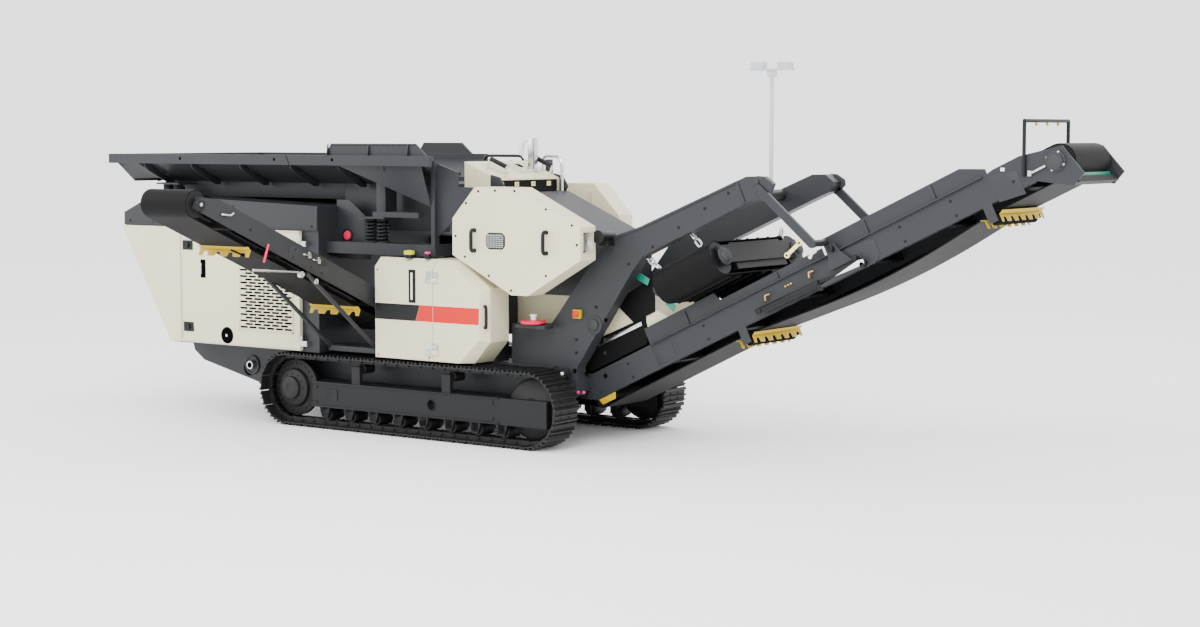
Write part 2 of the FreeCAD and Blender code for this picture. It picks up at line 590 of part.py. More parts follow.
def flywheel_guard(outline, arm_places):
    """A near guard: shallow closed case on arms from the crusher's side."""
    case = side_plate(outline, -GUARD_FACE, -GUARD_RIM)
    arms = [block(x, x + ARM, -GUARD_RIM, -CRUSHER_HALF_WIDTH, z, z + ARM) for x, z in arm_places]
    return fuse(case, *arms)


add("guard_near", flywheel_guard(guard_outline, ((-640.0, 2590.0), (300.0, 2070.0), (-240.0, 1665.0))))
add("guard_far", far_side(flywheel_guard(far_guard_outline, ((-1200.0, 2600.0), (-1200.0, 2060.0),
                                                             (-560.0, 1700.0)))))
FLYWHEEL_AT = (-670.0, 2200.0)
flywheel = fuse(
    rod((FLYWHEEL_AT[0], -880.0, FLYWHEEL_AT[1]), (FLYWHEEL_AT[0], -660.0, FLYWHEEL_AT[1]), FLYWHEEL_RADIUS),
    rod((FLYWHEEL_AT[0], -880.0, FLYWHEEL_AT[1]), (FLYWHEEL_AT[0], -CRUSHER_HALF_WIDTH, FLYWHEEL_AT[1]),
        110.0))
add("flywheels", flywheel, far_side(flywheel))

# ---------------------------------------------------------------- discharge boot
boot_outline = [(CRUSHER_STEP, 1020.0), (262.0, 1020.0), (1020.0, 1350.0), (1060.0, 1180.0), (1490.0, 1365.0),
                (800.0, BOOT_TOP), (CRUSHER_STEP, BOOT_TOP)]
add("discharge_boot", side_plate(boot_outline, -BOOT_HALF_WIDTH, BOOT_HALF_WIDTH))
SKIRT = 10.0
skirt_outline = [(CRUSHER_STEP, 800.0), (330.0, 800.0), (1030.0, 1130.0), (1010.0, 1420.0), (262.0, 1095.0),
                 (CRUSHER_STEP, 1095.0)]
boot_skirt = side_plate(skirt_outline, -BOOT_HALF_WIDTH - SKIRT, -BOOT_HALF_WIDTH)
add("boot_skirts", boot_skirt, far_side(boot_skirt))

# ---------------------------------------------------------------- discharge conveyor
HEAD_START = CONVEYOR_LENGTH - 890.0
GUARDS_AT = (2020.0, CONVEYOR_LENGTH - 1010.0)    # the two return idlers, along the slope
RETURN_LINE = -66.0               # inner face of the returning belt at those idlers
GUARD_EAR = 420.0                 # |Y| of the ears' inner faces
GUARD_HALF = 100.0
GUARD_BOTTOM = -145.0
GUARD_PLATE = 8.0
CARRYING_IDLERS = 6
SAG_SPAN = 3010.0                 # between return idlers for which the belt hangs in SAG_RADIUS
SAG_RADIUS = 9000.0
SAG_SHARE = 1580.0 / 3010.0       # lowest point of the returning belt, along that span
SAG_LINE = -165.0


def conveyor_side():
    """Near side plate of the conveyor: level tail, long rising channel and the head plate."""
    outer, inner = -CONVEYOR_HALF_WIDTH, -CONVEYOR_HALF_WIDTH + CONVEYOR_PLATE
    foot_x, foot_z = CONVEYOR_FOOT
    top_z = foot_z + CONVEYOR_DEPTH
    half = math.tan(math.radians(CONVEYOR_ANGLE) / 2)
    bend_top = (foot_x - CONVEYOR_DEPTH * half, top_z)
    depth = CONVEYOR_DEPTH
    tip = CONVEYOR_LENGTH
    web = side_plate([(CONVEYOR_TAIL, foot_z), CONVEYOR_FOOT, slope(tip - 451.0, 0.0),
                      slope(tip - 140.0, -190.0),
                      slope(tip, -124.0), slope(tip - 93.0, 197.0), slope(tip - 517.0, 290.0),
                      slope(tip - 825.0, 290.0), slope(HEAD_START, depth), bend_top, (CONVEYOR_TAIL, top_z)],
                     outer, inner)
    flange = 50.0
    lower = slope_block(80.0, HEAD_START + 400.0, 0.0, CONVEYOR_PLATE, inner, inner + flange)
    return fuse(web, lower)


def side_boards():
    """Near boards above the channel: loading skirt, low run, and the tall upper section."""
    y1 = -CONVEYOR_HALF_WIDTH + CONVEYOR_PLATE
    y0 = -CONVEYOR_HALF_WIDTH
    lower = slope_plate([(900.0, CONVEYOR_DEPTH), (3220.0, CONVEYOR_DEPTH), (3220.0, 364.0), (1900.0, 364.0),
                         (1860.0, 458.0), (897.0, 458.0)], y0, y1)
    upper = slope_plate([(3253.0, CONVEYOR_DEPTH), (HEAD_START, CONVEYOR_DEPTH), (HEAD_START, 330.0),
                         (HEAD_START - 239.0, 443.0), (3253.0, 443.0)], y0, y1)
    return [lower, upper]



def belt_pulleys():
    """Pulleys of the discharge belt in X, Z: tail, lower bend, return idlers, sag, head, upper bend."""
    tail = (CONVEYOR_TAIL + 170.0, CONVEYOR_FOOT[1] + CONVEYOR_DEPTH / 2, TAIL_DRUM_RADIUS)
    lower = (*slope(10.0, 2.0), 88.0)
    idler = RETURN_RADIUS + SEAT + BELT_THICKNESS
    first = (*slope(GUARDS_AT[0], RETURN_LINE - idler), -idler)
    span = GUARDS_AT[1] - GUARDS_AT[0]
    sag_radius = SAG_RADIUS * (span / SAG_SPAN) ** 2
    sag = (*slope(GUARDS_AT[0] + span * SAG_SHARE, SAG_LINE + sag_radius), sag_radius)
    second = (*slope(GUARDS_AT[1], RETURN_LINE - idler), -idler)
    head = (*slope(*HEAD_DRUM_AT), HEAD_DRUM_RADIUS)
    bend_radius = 1500.0
    top = HEAD_DRUM_AT[1] + HEAD_DRUM_RADIUS
    upper = (*slope(410.0, top + bend_radius), -bend_radius)
    return [tail, lower, first, sag, second, head, upper]


def xz_point(y):
    """A function that puts X, Z values on the plane of one Y."""
    return lambda u, v: FreeCAD.Vector(u, y, v)


discharge_belt = belt_loop(belt_pulleys(), BELT_THICKNESS, xz_point(-BELT_HALF_WIDTH),
                           FreeCAD.Vector(0, 2 * BELT_HALF_WIDTH, 0))
add("conveyor_belt", discharge_belt)

inner_face = CONVEYOR_HALF_WIDTH - CONVEYOR_PLATE
head_x, head_z = slope(*HEAD_DRUM_AT)
add("head_drum", fuse(
    rod((head_x, -BELT_HALF_WIDTH - 20.0, head_z), (head_x, BELT_HALF_WIDTH + 20.0, head_z),
        HEAD_DRUM_RADIUS - DRUM_GAP),
    rod((head_x, -CONVEYOR_HALF_WIDTH - 20.0, head_z), (head_x, CONVEYOR_HALF_WIDTH + 20.0, head_z),
        SHAFT_RADIUS)))


def bearing_block():
    """Near head bearing: a round housing on the head plate."""
    y0, y1 = -CONVEYOR_HALF_WIDTH - 45.0, -CONVEYOR_HALF_WIDTH
    return rod((head_x, y0, head_z), (head_x, y1, head_z), 85.0)


shaft_hole = rod((head_x, -2000.0, head_z), (head_x, 2000.0, head_z), SHAFT_RADIUS + RUNNING_GAP)
conveyor_near = fuse(conveyor_side(), *side_boards(), bearing_block()).cut(shaft_hole)
add("conveyor_side_near", conveyor_near)
add("conveyor_side_far", far_side(conveyor_near))


def conveyor_bed():
    """Cross members, carrying idlers and the tail drum inside the loop."""
    pieces = []
    under_belt = HEAD_DRUM_AT[1] + HEAD_DRUM_RADIUS
    first, last = 620.0, HEAD_DRUM_AT[0] - 812.0
    for i in range(CARRYING_IDLERS):
        s = first + i * (last - first) / (CARRYING_IDLERS - 1)
        roll = slope_rod(s, under_belt - SEAT - IDLER_RADIUS, -BELT_HALF_WIDTH, BELT_HALF_WIDTH, IDLER_RADIUS)
        axle = slope_rod(s, under_belt - SEAT - IDLER_RADIUS, -inner_face, inner_face, 15.0)
        pieces.append(fuse(roll, axle))
        pieces.append(slope_block(s + 200.0, s + 280.0, 60.0, 140.0, -inner_face, inner_face))
    tail_x, tail_z, radius = belt_pulleys()[0]
    drum = rod((tail_x, -BELT_HALF_WIDTH, tail_z), (tail_x, BELT_HALF_WIDTH, tail_z), radius - DRUM_GAP)
    axle = rod((tail_x, -inner_face, tail_z), (tail_x, inner_face, tail_z), SHAFT_RADIUS)
    pieces.append(fuse(drum, axle))
    low_x, low_z, radius = belt_pulleys()[1]
    drum = rod((low_x, -BELT_HALF_WIDTH, low_z), (low_x, BELT_HALF_WIDTH, low_z), radius - DRUM_GAP)
    axle = rod((low_x, -inner_face, low_z), (low_x, inner_face, low_z), 20.0)
    pieces.append(fuse(drum, axle))
    bar = HEAD_DRUM_AT[0] + 48.0
    pieces.append(slope_block(bar, bar + 80.0, -175.0, -115.0, -inner_face, inner_face))
    return pieces



def belt_guard(s):
    """A return idler between two ears, and the plates that guard it below the belt."""
    pieces = []
    for side in (-1, 1):
        y0, y1 = sorted((side * GUARD_EAR, side * CONVEYOR_HALF_WIDTH))
        pieces.append(slope_block(s - GUARD_HALF, s + GUARD_HALF, GUARD_BOTTOM, 0.0, y0, y1))
    for s0 in (s - GUARD_HALF, s + GUARD_HALF - GUARD_PLATE):
        pieces.append(slope_block(s0, s0 + GUARD_PLATE, GUARD_BOTTOM, GUARD_BOTTOM + 50.0, -GUARD_EAR,
                                  GUARD_EAR))
    return fuse(*pieces)


def return_idler(s):
    """The idler that the returning belt runs on."""
    return slope_rod(s, RETURN_LINE - BELT_THICKNESS - SEAT - RETURN_RADIUS, -GUARD_EAR, GUARD_EAR,
                     RETURN_RADIUS)


add("belt_guards", *[belt_guard(s) for s in GUARDS_AT])
add("conveyor_rollers", *conveyor_bed(), *[return_idler(s) for s in GUARDS_AT])

HOOP_RADIUS = 18.0
HOOP_X = head_x - 309.3033
HOOP_FOOT = head_z - 146.7945
HOOP_TOP = head_z + 373.2055
TOUCH = 0.3                       # round pieces stand this far off the flat face that holds them
hoop_y = CONVEYOR_HALF_WIDTH + TOUCH + HOOP_RADIUS
hoop_pieces = [rod((HOOP_X, -hoop_y, HOOP_TOP), (HOOP_X, hoop_y, HOOP_TOP), HOOP_RADIUS)]
for y in (-hoop_y, hoop_y):
    hoop_pieces.append(rod((HOOP_X, y, HOOP_FOOT), (HOOP_X, y, HOOP_TOP), HOOP_RADIUS))
    hoop_pieces.append(Part.makeSphere(HOOP_RADIUS, FreeCAD.Vector(HOOP_X, y, HOOP_TOP)))
hoop = fuse(*hoop_pieces)
add("spray_hoop", hoop)

# ---------------------------------------------------------------- lifting frame
lift_outline = [(-550.0, CHASSIS_TOP), (-550.0, 1290.0), (-10.0, 1310.0), (630.0, 2130.0), (790.0, 2270.0),
                (1140.0, 2382.0), (2304.0, 2868.0), (2431.0, 2920.0), (2587.0, 2922.0), (2687.0, 2849.0),
                (2640.0, 2740.0), (2432.0, 2652.0), (1181.0, 2082.0), (1054.0, 1931.0), (330.0, CHASSIS_TOP)]
foot_bracket = block(CHASSIS_NOSE, 330.0, -LIFT_OUTER, -LIFT_INNER, 560.0, CHASSIS_TOP)
foot_boss = block(120.0, 330.0, -LIFT_INNER, -CONVEYOR_HALF_WIDTH, 600.0, 740.0)
lift_frame = fuse(side_plate(lift_outline, -LIFT_OUTER, -LIFT_INNER), foot_bracket, foot_boss)
add("lifting_frame_near", lift_frame)
add("lifting_frame_far", far_side(lift_frame))
tie = [rod((2060.0, -LIFT_INNER, 2700.0), (2060.0, LIFT_INNER, 2700.0), 60.0)]
add("lifting_tie", *tie)

# ---------------------------------------------------------------- conveyor hangers and fold cylinders
LINK_TOP = (2590.0, 2800.0)
LINK_BOTTOM = slope(3290.0, 395.0)
LINK_WIDTH = 90.0


def hanger_link():
    """Near link: a flat bar from the frame's tip to a bracket on the conveyor's side."""
    y0, y1 = -LIFT_OUTER - 35.0, -LIFT_OUTER
    dx, dz = LINK_BOTTOM[0] - LINK_TOP[0], LINK_BOTTOM[1] - LINK_TOP[1]
    length = math.hypot(dx, dz)
    nx, nz = -dz / length * LINK_WIDTH / 2, dx / length * LINK_WIDTH / 2
    bar = side_plate([(LINK_TOP[0] + nx, LINK_TOP[1] + nz), (LINK_TOP[0] - nx, LINK_TOP[1] - nz),
                      (LINK_BOTTOM[0] - nx, LINK_BOTTOM[1] - nz), (LINK_BOTTOM[0] + nx,
                                                                   LINK_BOTTOM[1] + nz)], y0, y1)
    eyes = [rod((p[0], y0, p[1]), (p[0], y1, p[1]), LINK_WIDTH / 2) for p in (LINK_TOP, LINK_BOTTOM)]
    pin = rod((LINK_BOTTOM[0], y1, LINK_BOTTOM[1]), (LINK_BOTTOM[0], -CONVEYOR_HALF_WIDTH,
                                                     LINK_BOTTOM[1]), 35.0)
    return fuse(bar, *eyes, pin)


link = hanger_link()
add("hanger_links", link, far_side(link))


def fold_cylinder():
    """Near hydraulic cylinder along the fold of the conveyor: barrel, rod and two pinned eyes."""
    y = -CONVEYOR_HALF_WIDTH - 55.0
    a, b, c = (slope(s, n) for s, n in ((2330.0, 62.0), (3080.0, 45.0), (3620.0, 35.0)))
    barrel = rod((a[0], y, a[1]), (b[0], y, b[1]), 36.0)
    ram = rod((b[0], y, b[1]), (c[0], y, c[1]), 18.0)
    pins = [rod((p[0], y - 30.0, p[1]), (p[0], -CONVEYOR_HALF_WIDTH, p[1]), 24.0) for p in (a, c)]
    return fuse(barrel, ram, *pins)


cylinder = fold_cylinder()
add("fold_cylinders", cylinder, far_side(cylinder))

# ---------------------------------------------------------------- overband magnet
def magnet_place(u, v):
    """Y, n of the magnet's section to a point in space, at its lower end along the slope."""
    x, z = slope(MAGNET_AT[0] - MAGNET_LENGTH / 2, MAGNET_AT[1] + v)
    return FreeCAD.Vector(x, u, z)


slope_vector = FreeCAD.Vector(math.cos(math.radians(CONVEYOR_ANGLE)), 0,
                              math.sin(math.radians(CONVEYOR_ANGLE)))
magnet_pulleys = [(-MAGNET_REACH, 0.0, MAGNET_RADIUS - BELT_THICKNESS),
                  (MAGNET_REACH, 0.0, MAGNET_RADIUS - BELT_THICKNESS)]
magnet_belt = belt_loop(magnet_pulleys, BELT_THICKNESS, magnet_place, slope_vector * MAGNET_LENGTH)
add("magnet_belt", magnet_belt)


def magnet_body():
    """Magnet box, its two drums, and the end plates that hold them."""
    s0, s1 = MAGNET_AT[0] - MAGNET_LENGTH / 2, MAGNET_AT[0] + MAGNET_LENGTH / 2
    n0 = MAGNET_AT[1]
    half = MAGNET_REACH - 230.0
    core = slope_block(s0 - 20.0, s1 + 20.0, n0 - 140.0, n0 + 150.0, -half, half)
    pieces = [core]
    for s in (s0 - 50.0, s1 + 20.0):
        pieces.append(slope_block(s, s + 30.0, n0 - 70.0, n0 + 120.0, -MAGNET_REACH - 60.0,
                                  MAGNET_REACH + 60.0))
    for y in (-MAGNET_REACH, MAGNET_REACH):
        start, end = slope(s0 - 20.0, n0), slope(s1 + 20.0, n0)
        pieces.append(rod((start[0], y, start[1]), (end[0], y, end[1]), 40.0))
        start, end = slope(s0, n0), slope(s1, n0)
        pieces.append(rod((start[0], y, start[1]), (end[0], y, end[1]),
                          MAGNET_RADIUS - BELT_THICKNESS - DRUM_GAP))
    for y in (-CHAIN_Y, CHAIN_Y):
        pieces.append(slope_block(s0 - 110.0, s0 - 50.0, n0 + 90.0, n0 + 120.0, y - 27.0, y + 27.0))
    return fuse(*pieces)


CHAIN_Y = LIFT_INNER + 50.0
magnet = magnet_body()
add("magnet", magnet)
CHAIN_RADIUS = 14.0
BEAM_SLOPE = (2652.0 - 2082.0) / (2432.0 - 1181.0)
chains = []
for s in (MAGNET_AT[0] - MAGNET_LENGTH / 2 - 85.0, MAGNET_AT[0] + MAGNET_LENGTH / 2 + 38.0):
    x, z = slope(s, MAGNET_AT[1] + 120.0)
    beam_z = 2082.0 + (x - 1181.0) * BEAM_SLOPE
    chains.append(rod((x, -CHAIN_Y, z), (x, -CHAIN_Y, beam_z + 2 * CHAIN_RADIUS), CHAIN_RADIUS))
chains = [piece.cut(lift_frame).cut(magnet) for piece in chains]
add("magnet_chains", *chains, *[far_side(piece) for piece in chains])

# ---------------------------------------------------------------- side conveyor
SIDE_DEPTH = 220.0
SIDE_PLATE = 16.0
SIDE_TOP = SIDE_BELT_RADIUS + 6.0
side_length = math.hypot(SIDE_HEAD[0] - SIDE_TAIL[0], SIDE_HEAD[1] - SIDE_TAIL[1])
SIDE_BELT = (SIDE_FAR_X + 45.0, SIDE_NEAR_X - 45.0)
SIDE_SHAFT = 20.0


def side_frame():
    """Side conveyor frame: two plates with head ears, tied across by bars."""
    outline = [(-160.0, SIDE_TOP - SIDE_DEPTH), (side_length - 250.0, SIDE_TOP - SIDE_DEPTH),
               (side_length + 60.0, -60.0), (side_length + 60.0, 60.0), (side_length - 250.0, SIDE_TOP),
               (-160.0, SIDE_TOP)]
    plates = [side_slope_plate(outline, SIDE_NEAR_X - SIDE_PLATE, SIDE_NEAR_X),
              side_slope_plate(outline, SIDE_FAR_X, SIDE_FAR_X + SIDE_PLATE)]
    ties = []
    for i in range(4):
        t = 420.0 + i * 800.0
        ties.append(side_slope_plate([(t, -30.0), (t + 60.0, -30.0), (t + 60.0, 30.0), (t, 30.0)],
                                     SIDE_FAR_X + SIDE_PLATE, SIDE_NEAR_X - SIDE_PLATE))
    y, z = side_slope(side_length, 0.0)
    hole = rod((SIDE_FAR_X - 1.0, y, z), (SIDE_NEAR_X + 1.0, y, z), SIDE_SHAFT + RUNNING_GAP)
    return fuse(*plates, *ties).cut(hole)


add("side_conveyor_frame", side_frame())


def yz_place(u, v):
    """Side conveyor section values to a point on the belt's far edge."""
    y, z = side_slope(u, v)
    return FreeCAD.Vector(SIDE_BELT[0], y, z)


side_drum_radius = SIDE_BELT_RADIUS - BELT_THICKNESS
side_pulleys = [(0.0, 0.0, side_drum_radius), (side_length, 0.0, side_drum_radius)]
side_belt = belt_loop(side_pulleys, BELT_THICKNESS, yz_place, FreeCAD.Vector(SIDE_BELT[1] - SIDE_BELT[0],
                                                                             0, 0))
add("side_belt", side_belt)
y_head, z_head = side_slope(side_length, 0.0)
add("side_head_drum", fuse(
    rod((SIDE_BELT[0], y_head, z_head), (SIDE_BELT[1], y_head, z_head), side_drum_radius - DRUM_GAP),
    rod((SIDE_FAR_X - 15.0, y_head, z_head), (SIDE_NEAR_X + 15.0, y_head, z_head), SIDE_SHAFT)))
y_tail, z_tail = side_slope(0.0, 0.0)
add("side_tail_drum", fuse(
    rod((SIDE_BELT[0], y_tail, z_tail), (SIDE_BELT[1], y_tail, z_tail), side_drum_radius - DRUM_GAP),
    rod((SIDE_FAR_X + SIDE_PLATE, y_tail, z_tail), (SIDE_NEAR_X - SIDE_PLATE, y_tail, z_tail), SIDE_SHAFT)))


def side_struts():
    """Two braces from the chassis up to the side conveyor's plates, on a shelf beside it."""
    shelf = block(SIDE_FAR_X, SIDE_NEAR_X, -1120.0, -CHASSIS_OUTER, CHASSIS_TOP + 30.0, CHASSIS_TOP + 90.0)
    knee = block(SIDE_FAR_X, SIDE_NEAR_X, -CHASSIS_OUTER, -CHASSIS_OUTER + 90.0, CHASSIS_TOP,
                 CHASSIS_TOP + 90.0)
    pieces = [shelf, knee]
    for x in (SIDE_FAR_X + 20.0, SIDE_NEAR_X - 20.0):
        y1, z1 = side_slope(1730.0, SIDE_TOP - SIDE_DEPTH)
        pieces.append(rod((x, -1080.0, CHASSIS_TOP + 60.0), (x, y1, z1 - 25.2), 24.0))
    return fuse(*pieces)


add("side_struts", side_struts())

# ---------------------------------------------------------------- light mast
SOCKET_RADIUS = MAST_RADIUS + 12.0
SOCKET_BOTTOM = MAST_FOOT + 40.0
SOCKET_TOP = 2720.0
socket = rod((MAST_X, MAST_Y, SOCKET_BOTTOM), (MAST_X, MAST_Y, SOCKET_TOP), SOCKET_RADIUS)
bracket = block(MAST_X - 30.0, MAST_X + 30.0, LIFT_OUTER, MAST_Y, SOCKET_BOTTOM + 20.0, SOCKET_TOP - 90.0)
mast_bore = rod((MAST_X, MAST_Y, SOCKET_BOTTOM - 1.0), (MAST_X, MAST_Y, SOCKET_TOP + 1.0),
                MAST_RADIUS + RUNNING_GAP)
add("mast_socket", fuse(socket, bracket).cut(mast_bore))
add("mast_pole", rod((MAST_X, MAST_Y, MAST_FOOT), (MAST_X, MAST_Y, MAST_TOP), MAST_RADIUS))
add("lamp_head", fuse(
    block(MAST_X - 250.0, MAST_X + 250.0, MAST_Y - 60.0, MAST_Y + 60.0, MAST_TOP + 70.0, MAST_TOP + 90.0),
    block(MAST_X - 40.0, MAST_X + 40.0, MAST_Y - 40.0, MAST_Y + 40.0, MAST_TOP, MAST_TOP + 70.0),
    block(MAST_X - 240.0, MAST_X - 90.0, MAST_Y - 50.0, MAST_Y + 50.0, MAST_TOP + 90.0, MAST_TOP + 160.0),
    block(MAST_X + 90.0, MAST_X + 240.0, MAST_Y - 50.0, MAST_Y + 50.0, MAST_TOP + 90.0, MAST_TOP + 160.0)))

# ---------------------------------------------------------------- write one STEP a node
whole = Part.makeCompound(list(PARTS.values())).BoundBox
shift = FreeCAD.Vector(-(whole.XMin + whole.XMax) / 2, -(whole.YMin + whole.YMax) / 2, -whole.ZMin)
os.makedirs("parts", exist_ok=True)
for name, shape in PARTS.items():
    moved = shape.copy()
    moved.translate(shift)
    moved.exportStep("parts/%s.step" % name)
print("nodes", len(PARTS), "shift", [round(v, 3) for v in shift])
print("size", [round(v, 1) for v in (whole.XLength, whole.YLength, whole.ZLength)])
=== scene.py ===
"""Looks of the tracked jaw crushing plant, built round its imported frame, in metres."""

from __future__ import annotations

import json
import logging
import math
from dataclasses import dataclass, field
from enum import Enum
from typing import Callable, Iterable, Sequence

import bmesh
import bpy
from mathutils import Matrix, Vector

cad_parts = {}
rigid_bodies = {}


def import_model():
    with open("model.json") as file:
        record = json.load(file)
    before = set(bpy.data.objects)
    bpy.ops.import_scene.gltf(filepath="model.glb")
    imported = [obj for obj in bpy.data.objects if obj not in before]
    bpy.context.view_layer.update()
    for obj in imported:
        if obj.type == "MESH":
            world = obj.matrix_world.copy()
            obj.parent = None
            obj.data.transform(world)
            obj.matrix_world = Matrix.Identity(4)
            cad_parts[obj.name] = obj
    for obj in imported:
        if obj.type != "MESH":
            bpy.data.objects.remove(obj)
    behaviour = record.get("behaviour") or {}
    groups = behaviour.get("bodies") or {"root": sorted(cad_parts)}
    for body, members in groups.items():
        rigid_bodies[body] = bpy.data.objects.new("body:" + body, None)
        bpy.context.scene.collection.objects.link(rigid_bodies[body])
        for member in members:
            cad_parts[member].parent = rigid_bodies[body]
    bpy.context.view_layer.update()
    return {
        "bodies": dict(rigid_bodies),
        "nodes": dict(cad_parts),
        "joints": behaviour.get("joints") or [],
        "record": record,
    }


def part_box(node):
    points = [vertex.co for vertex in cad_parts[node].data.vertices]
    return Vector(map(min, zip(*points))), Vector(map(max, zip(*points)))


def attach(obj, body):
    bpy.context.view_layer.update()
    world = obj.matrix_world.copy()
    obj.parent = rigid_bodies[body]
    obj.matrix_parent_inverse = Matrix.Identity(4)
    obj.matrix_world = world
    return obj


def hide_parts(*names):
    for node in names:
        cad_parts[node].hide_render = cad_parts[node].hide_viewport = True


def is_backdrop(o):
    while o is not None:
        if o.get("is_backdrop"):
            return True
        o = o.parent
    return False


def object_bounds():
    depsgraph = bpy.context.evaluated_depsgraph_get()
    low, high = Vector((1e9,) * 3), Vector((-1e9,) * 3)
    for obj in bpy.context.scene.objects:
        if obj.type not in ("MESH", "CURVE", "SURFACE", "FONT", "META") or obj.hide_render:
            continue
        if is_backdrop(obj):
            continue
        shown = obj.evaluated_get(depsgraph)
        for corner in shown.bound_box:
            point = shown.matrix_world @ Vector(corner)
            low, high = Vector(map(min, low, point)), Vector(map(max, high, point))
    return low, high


LOG = logging.getLogger("crushing_plant")
Row = tuple[float, float, float]
TRACK_TIP = 0.424          # radius of the track over its grousers
CONVEYOR_TILT = math.radians(25.6)
CONVEYOR_FOOT = (0.410, 0.493)
SIDE_TAIL = (-0.620, 1.250)   # tail drum, across and up
SIDE_HEAD = (-3.810, 2.634)   # head drum
SIDE_TILT = math.atan2(1.384, 3.190)
FRONT, BACK = Vector((0, -1, 0)), Vector((0, 1, 0))
UP, AHEAD = Vector((0, 0, 1)), Vector((1, 0, 0))
SIDES = ((-1, "near"), (1, "far"))


class Slot(Enum):
    """The record's material slots."""

    DARK = "dark_paint"
    BLACK = "black_paint"
    CREAM = "cream_paint"
    YELLOW = "yellow_paint"
    TRACK = "track_steel"
    TRACK_FRAME = "track_paint"
    CAST = "cast_iron"
    RUBBER = "black_rubber"
    DRUM = "drum_steel"
    ZINC = "zinc_steel"
    ALUMINIUM = "aluminium"


# ------------------------------------------------------------------ colour and nodes
def linear(code: str) -> tuple[float, float, float, float]:
    """Turns an sRGB hex colour to linear.

    Args:
        code: six hex digits after a hash.

    Returns:
        Red, green, blue and alpha in linear light.
    """
    parts = [int(code[i:i + 2], 16) / 255.0 for i in (1, 3, 5)]
    return (*[c / 12.92 if c <= 0.04045 else ((c + 0.055) / 1.055) ** 2.4 for c in parts], 1.0)


def add_node(tree: bpy.types.NodeTree, kind: str, settings: dict | None = None,
             links: dict | None = None) -> bpy.types.Node:
    """Adds a shader node with its settings and links.

    Args:
        tree: the material's node tree.
        kind: Blender's name for the node type.
        settings: node properties and unlinked input values, by name or index.
        links: output sockets to plug into inputs, by input name or index.

    Returns:
        The new node.
    """
    made = tree.nodes.new(kind)
    for key, value in (settings or {}).items():
        if isinstance(key, str) and hasattr(made, key):
            setattr(made, key, value)
        else:
            made.inputs[key].default_value = value
    for key, source in (links or {}).items():
        tree.links.new(source, made.inputs[key])
    return made


@dataclass(frozen=True)
class Finish:
    """A surface: its colours, gloss, and the real sizes of its variation and grain."""

    name: str
    slot: Slot
    colour: str
    second: str
    roughness: float
    metallic: float = 0.0
    cloud_mm: float = 700.0      # size of the slow change in tone
    grain_mm: float = 9.0        # size of the fine grain, drawn coarser than real to show
    grain_depth_mm: float = 0.15
    spread: float = 0.08         # how far roughness wanders
    edge_mm: float = 4.0         # radius that catches the light along an edge
    # lighter colour mixed in along rounded edges as a painted highlight
    painted_edge_highlight: str = ""
    sheen: float = 0.5           # specular level

    def shaded(self, tree: bpy.types.NodeTree) -> dict:
        """Adds the nodes that this finish adds to colour, roughness and normal.

        Args:
            tree: the material's node tree.

        Returns:
            The sockets for the shader's inputs, by input name.
        """
        coords = add_node(tree, "ShaderNodeTexCoord")
        cloud = add_node(tree, "ShaderNodeTexNoise", {"Scale": 1000.0 / self.cloud_mm, "Detail": 3.0},
            {"Vector": coords.outputs["Object"]})
        grain = add_node(tree, "ShaderNodeTexNoise", {"Scale": 1000.0 / self.grain_mm, "Detail": 2.0},
            {"Vector": coords.outputs["Object"]})
        base = add_node(tree, "ShaderNodeMix", {"data_type": "RGBA", 6: linear(self.colour),
            7: linear(self.second)}, {0: cloud.outputs["Fac"]})
        rough = add_node(tree, "ShaderNodeMapRange", {"To Min": self.roughness - self.spread,
            "To Max": self.roughness + self.spread}, {"Value": cloud.outputs["Fac"]})
        bevel = add_node(tree, "ShaderNodeBevel", {"samples": 3, "Radius": self.edge_mm / 1000.0})
        bump = add_node(tree, "ShaderNodeBump", {"Strength": 0.4, "Distance": self.grain_depth_mm / 1000.0},
            {"Height": grain.outputs["Fac"], "Normal": bevel.outputs["Normal"]})
        colour = base.outputs[2]
        # Painted highlight: where the rounded normal turns away from the flat face, the colour is mixed
        # towards a lighter one.
        if self.painted_edge_highlight:
            flat = add_node(tree, "ShaderNodeNewGeometry")
            dot = add_node(tree, "ShaderNodeVectorMath", {"operation": "DOT_PRODUCT"},
                {0: bevel.outputs["Normal"], 1: flat.outputs["Normal"]})
            highlight_share = add_node(tree, "ShaderNodeMapRange", {"From Min": 0.995, "From Max": 0.80, "To Min": 0.0,
                "To Max": 0.55}, {"Value": dot.outputs["Value"]})
            edge = add_node(tree, "ShaderNodeMix", {"data_type": "RGBA", 7: linear(self.painted_edge_highlight)},
                {0: highlight_share.outputs["Result"], 6: colour})
            colour = edge.outputs[2]
        return {"Base Color": colour, "Roughness": rough.outputs["Result"], "Normal": bump.outputs["Normal"]}

    def material(self) -> bpy.types.Material:
        """Makes the material once, and gives the same one after that."""
        made = bpy.data.materials.get(self.name)
        if made:
            return made
        made = bpy.data.materials.new(self.name)
        made.use_nodes = True
        tree = made.node_tree
        tree.nodes.clear()
        shader = add_node(tree, "ShaderNodeBsdfPrincipled", {"Metallic": self.metallic,
            "Specular IOR Level": self.sheen}, self.shaded(tree))
        add_node(tree, "ShaderNodeOutputMaterial", None, {"Surface": shader.outputs["BSDF"]})
        return made
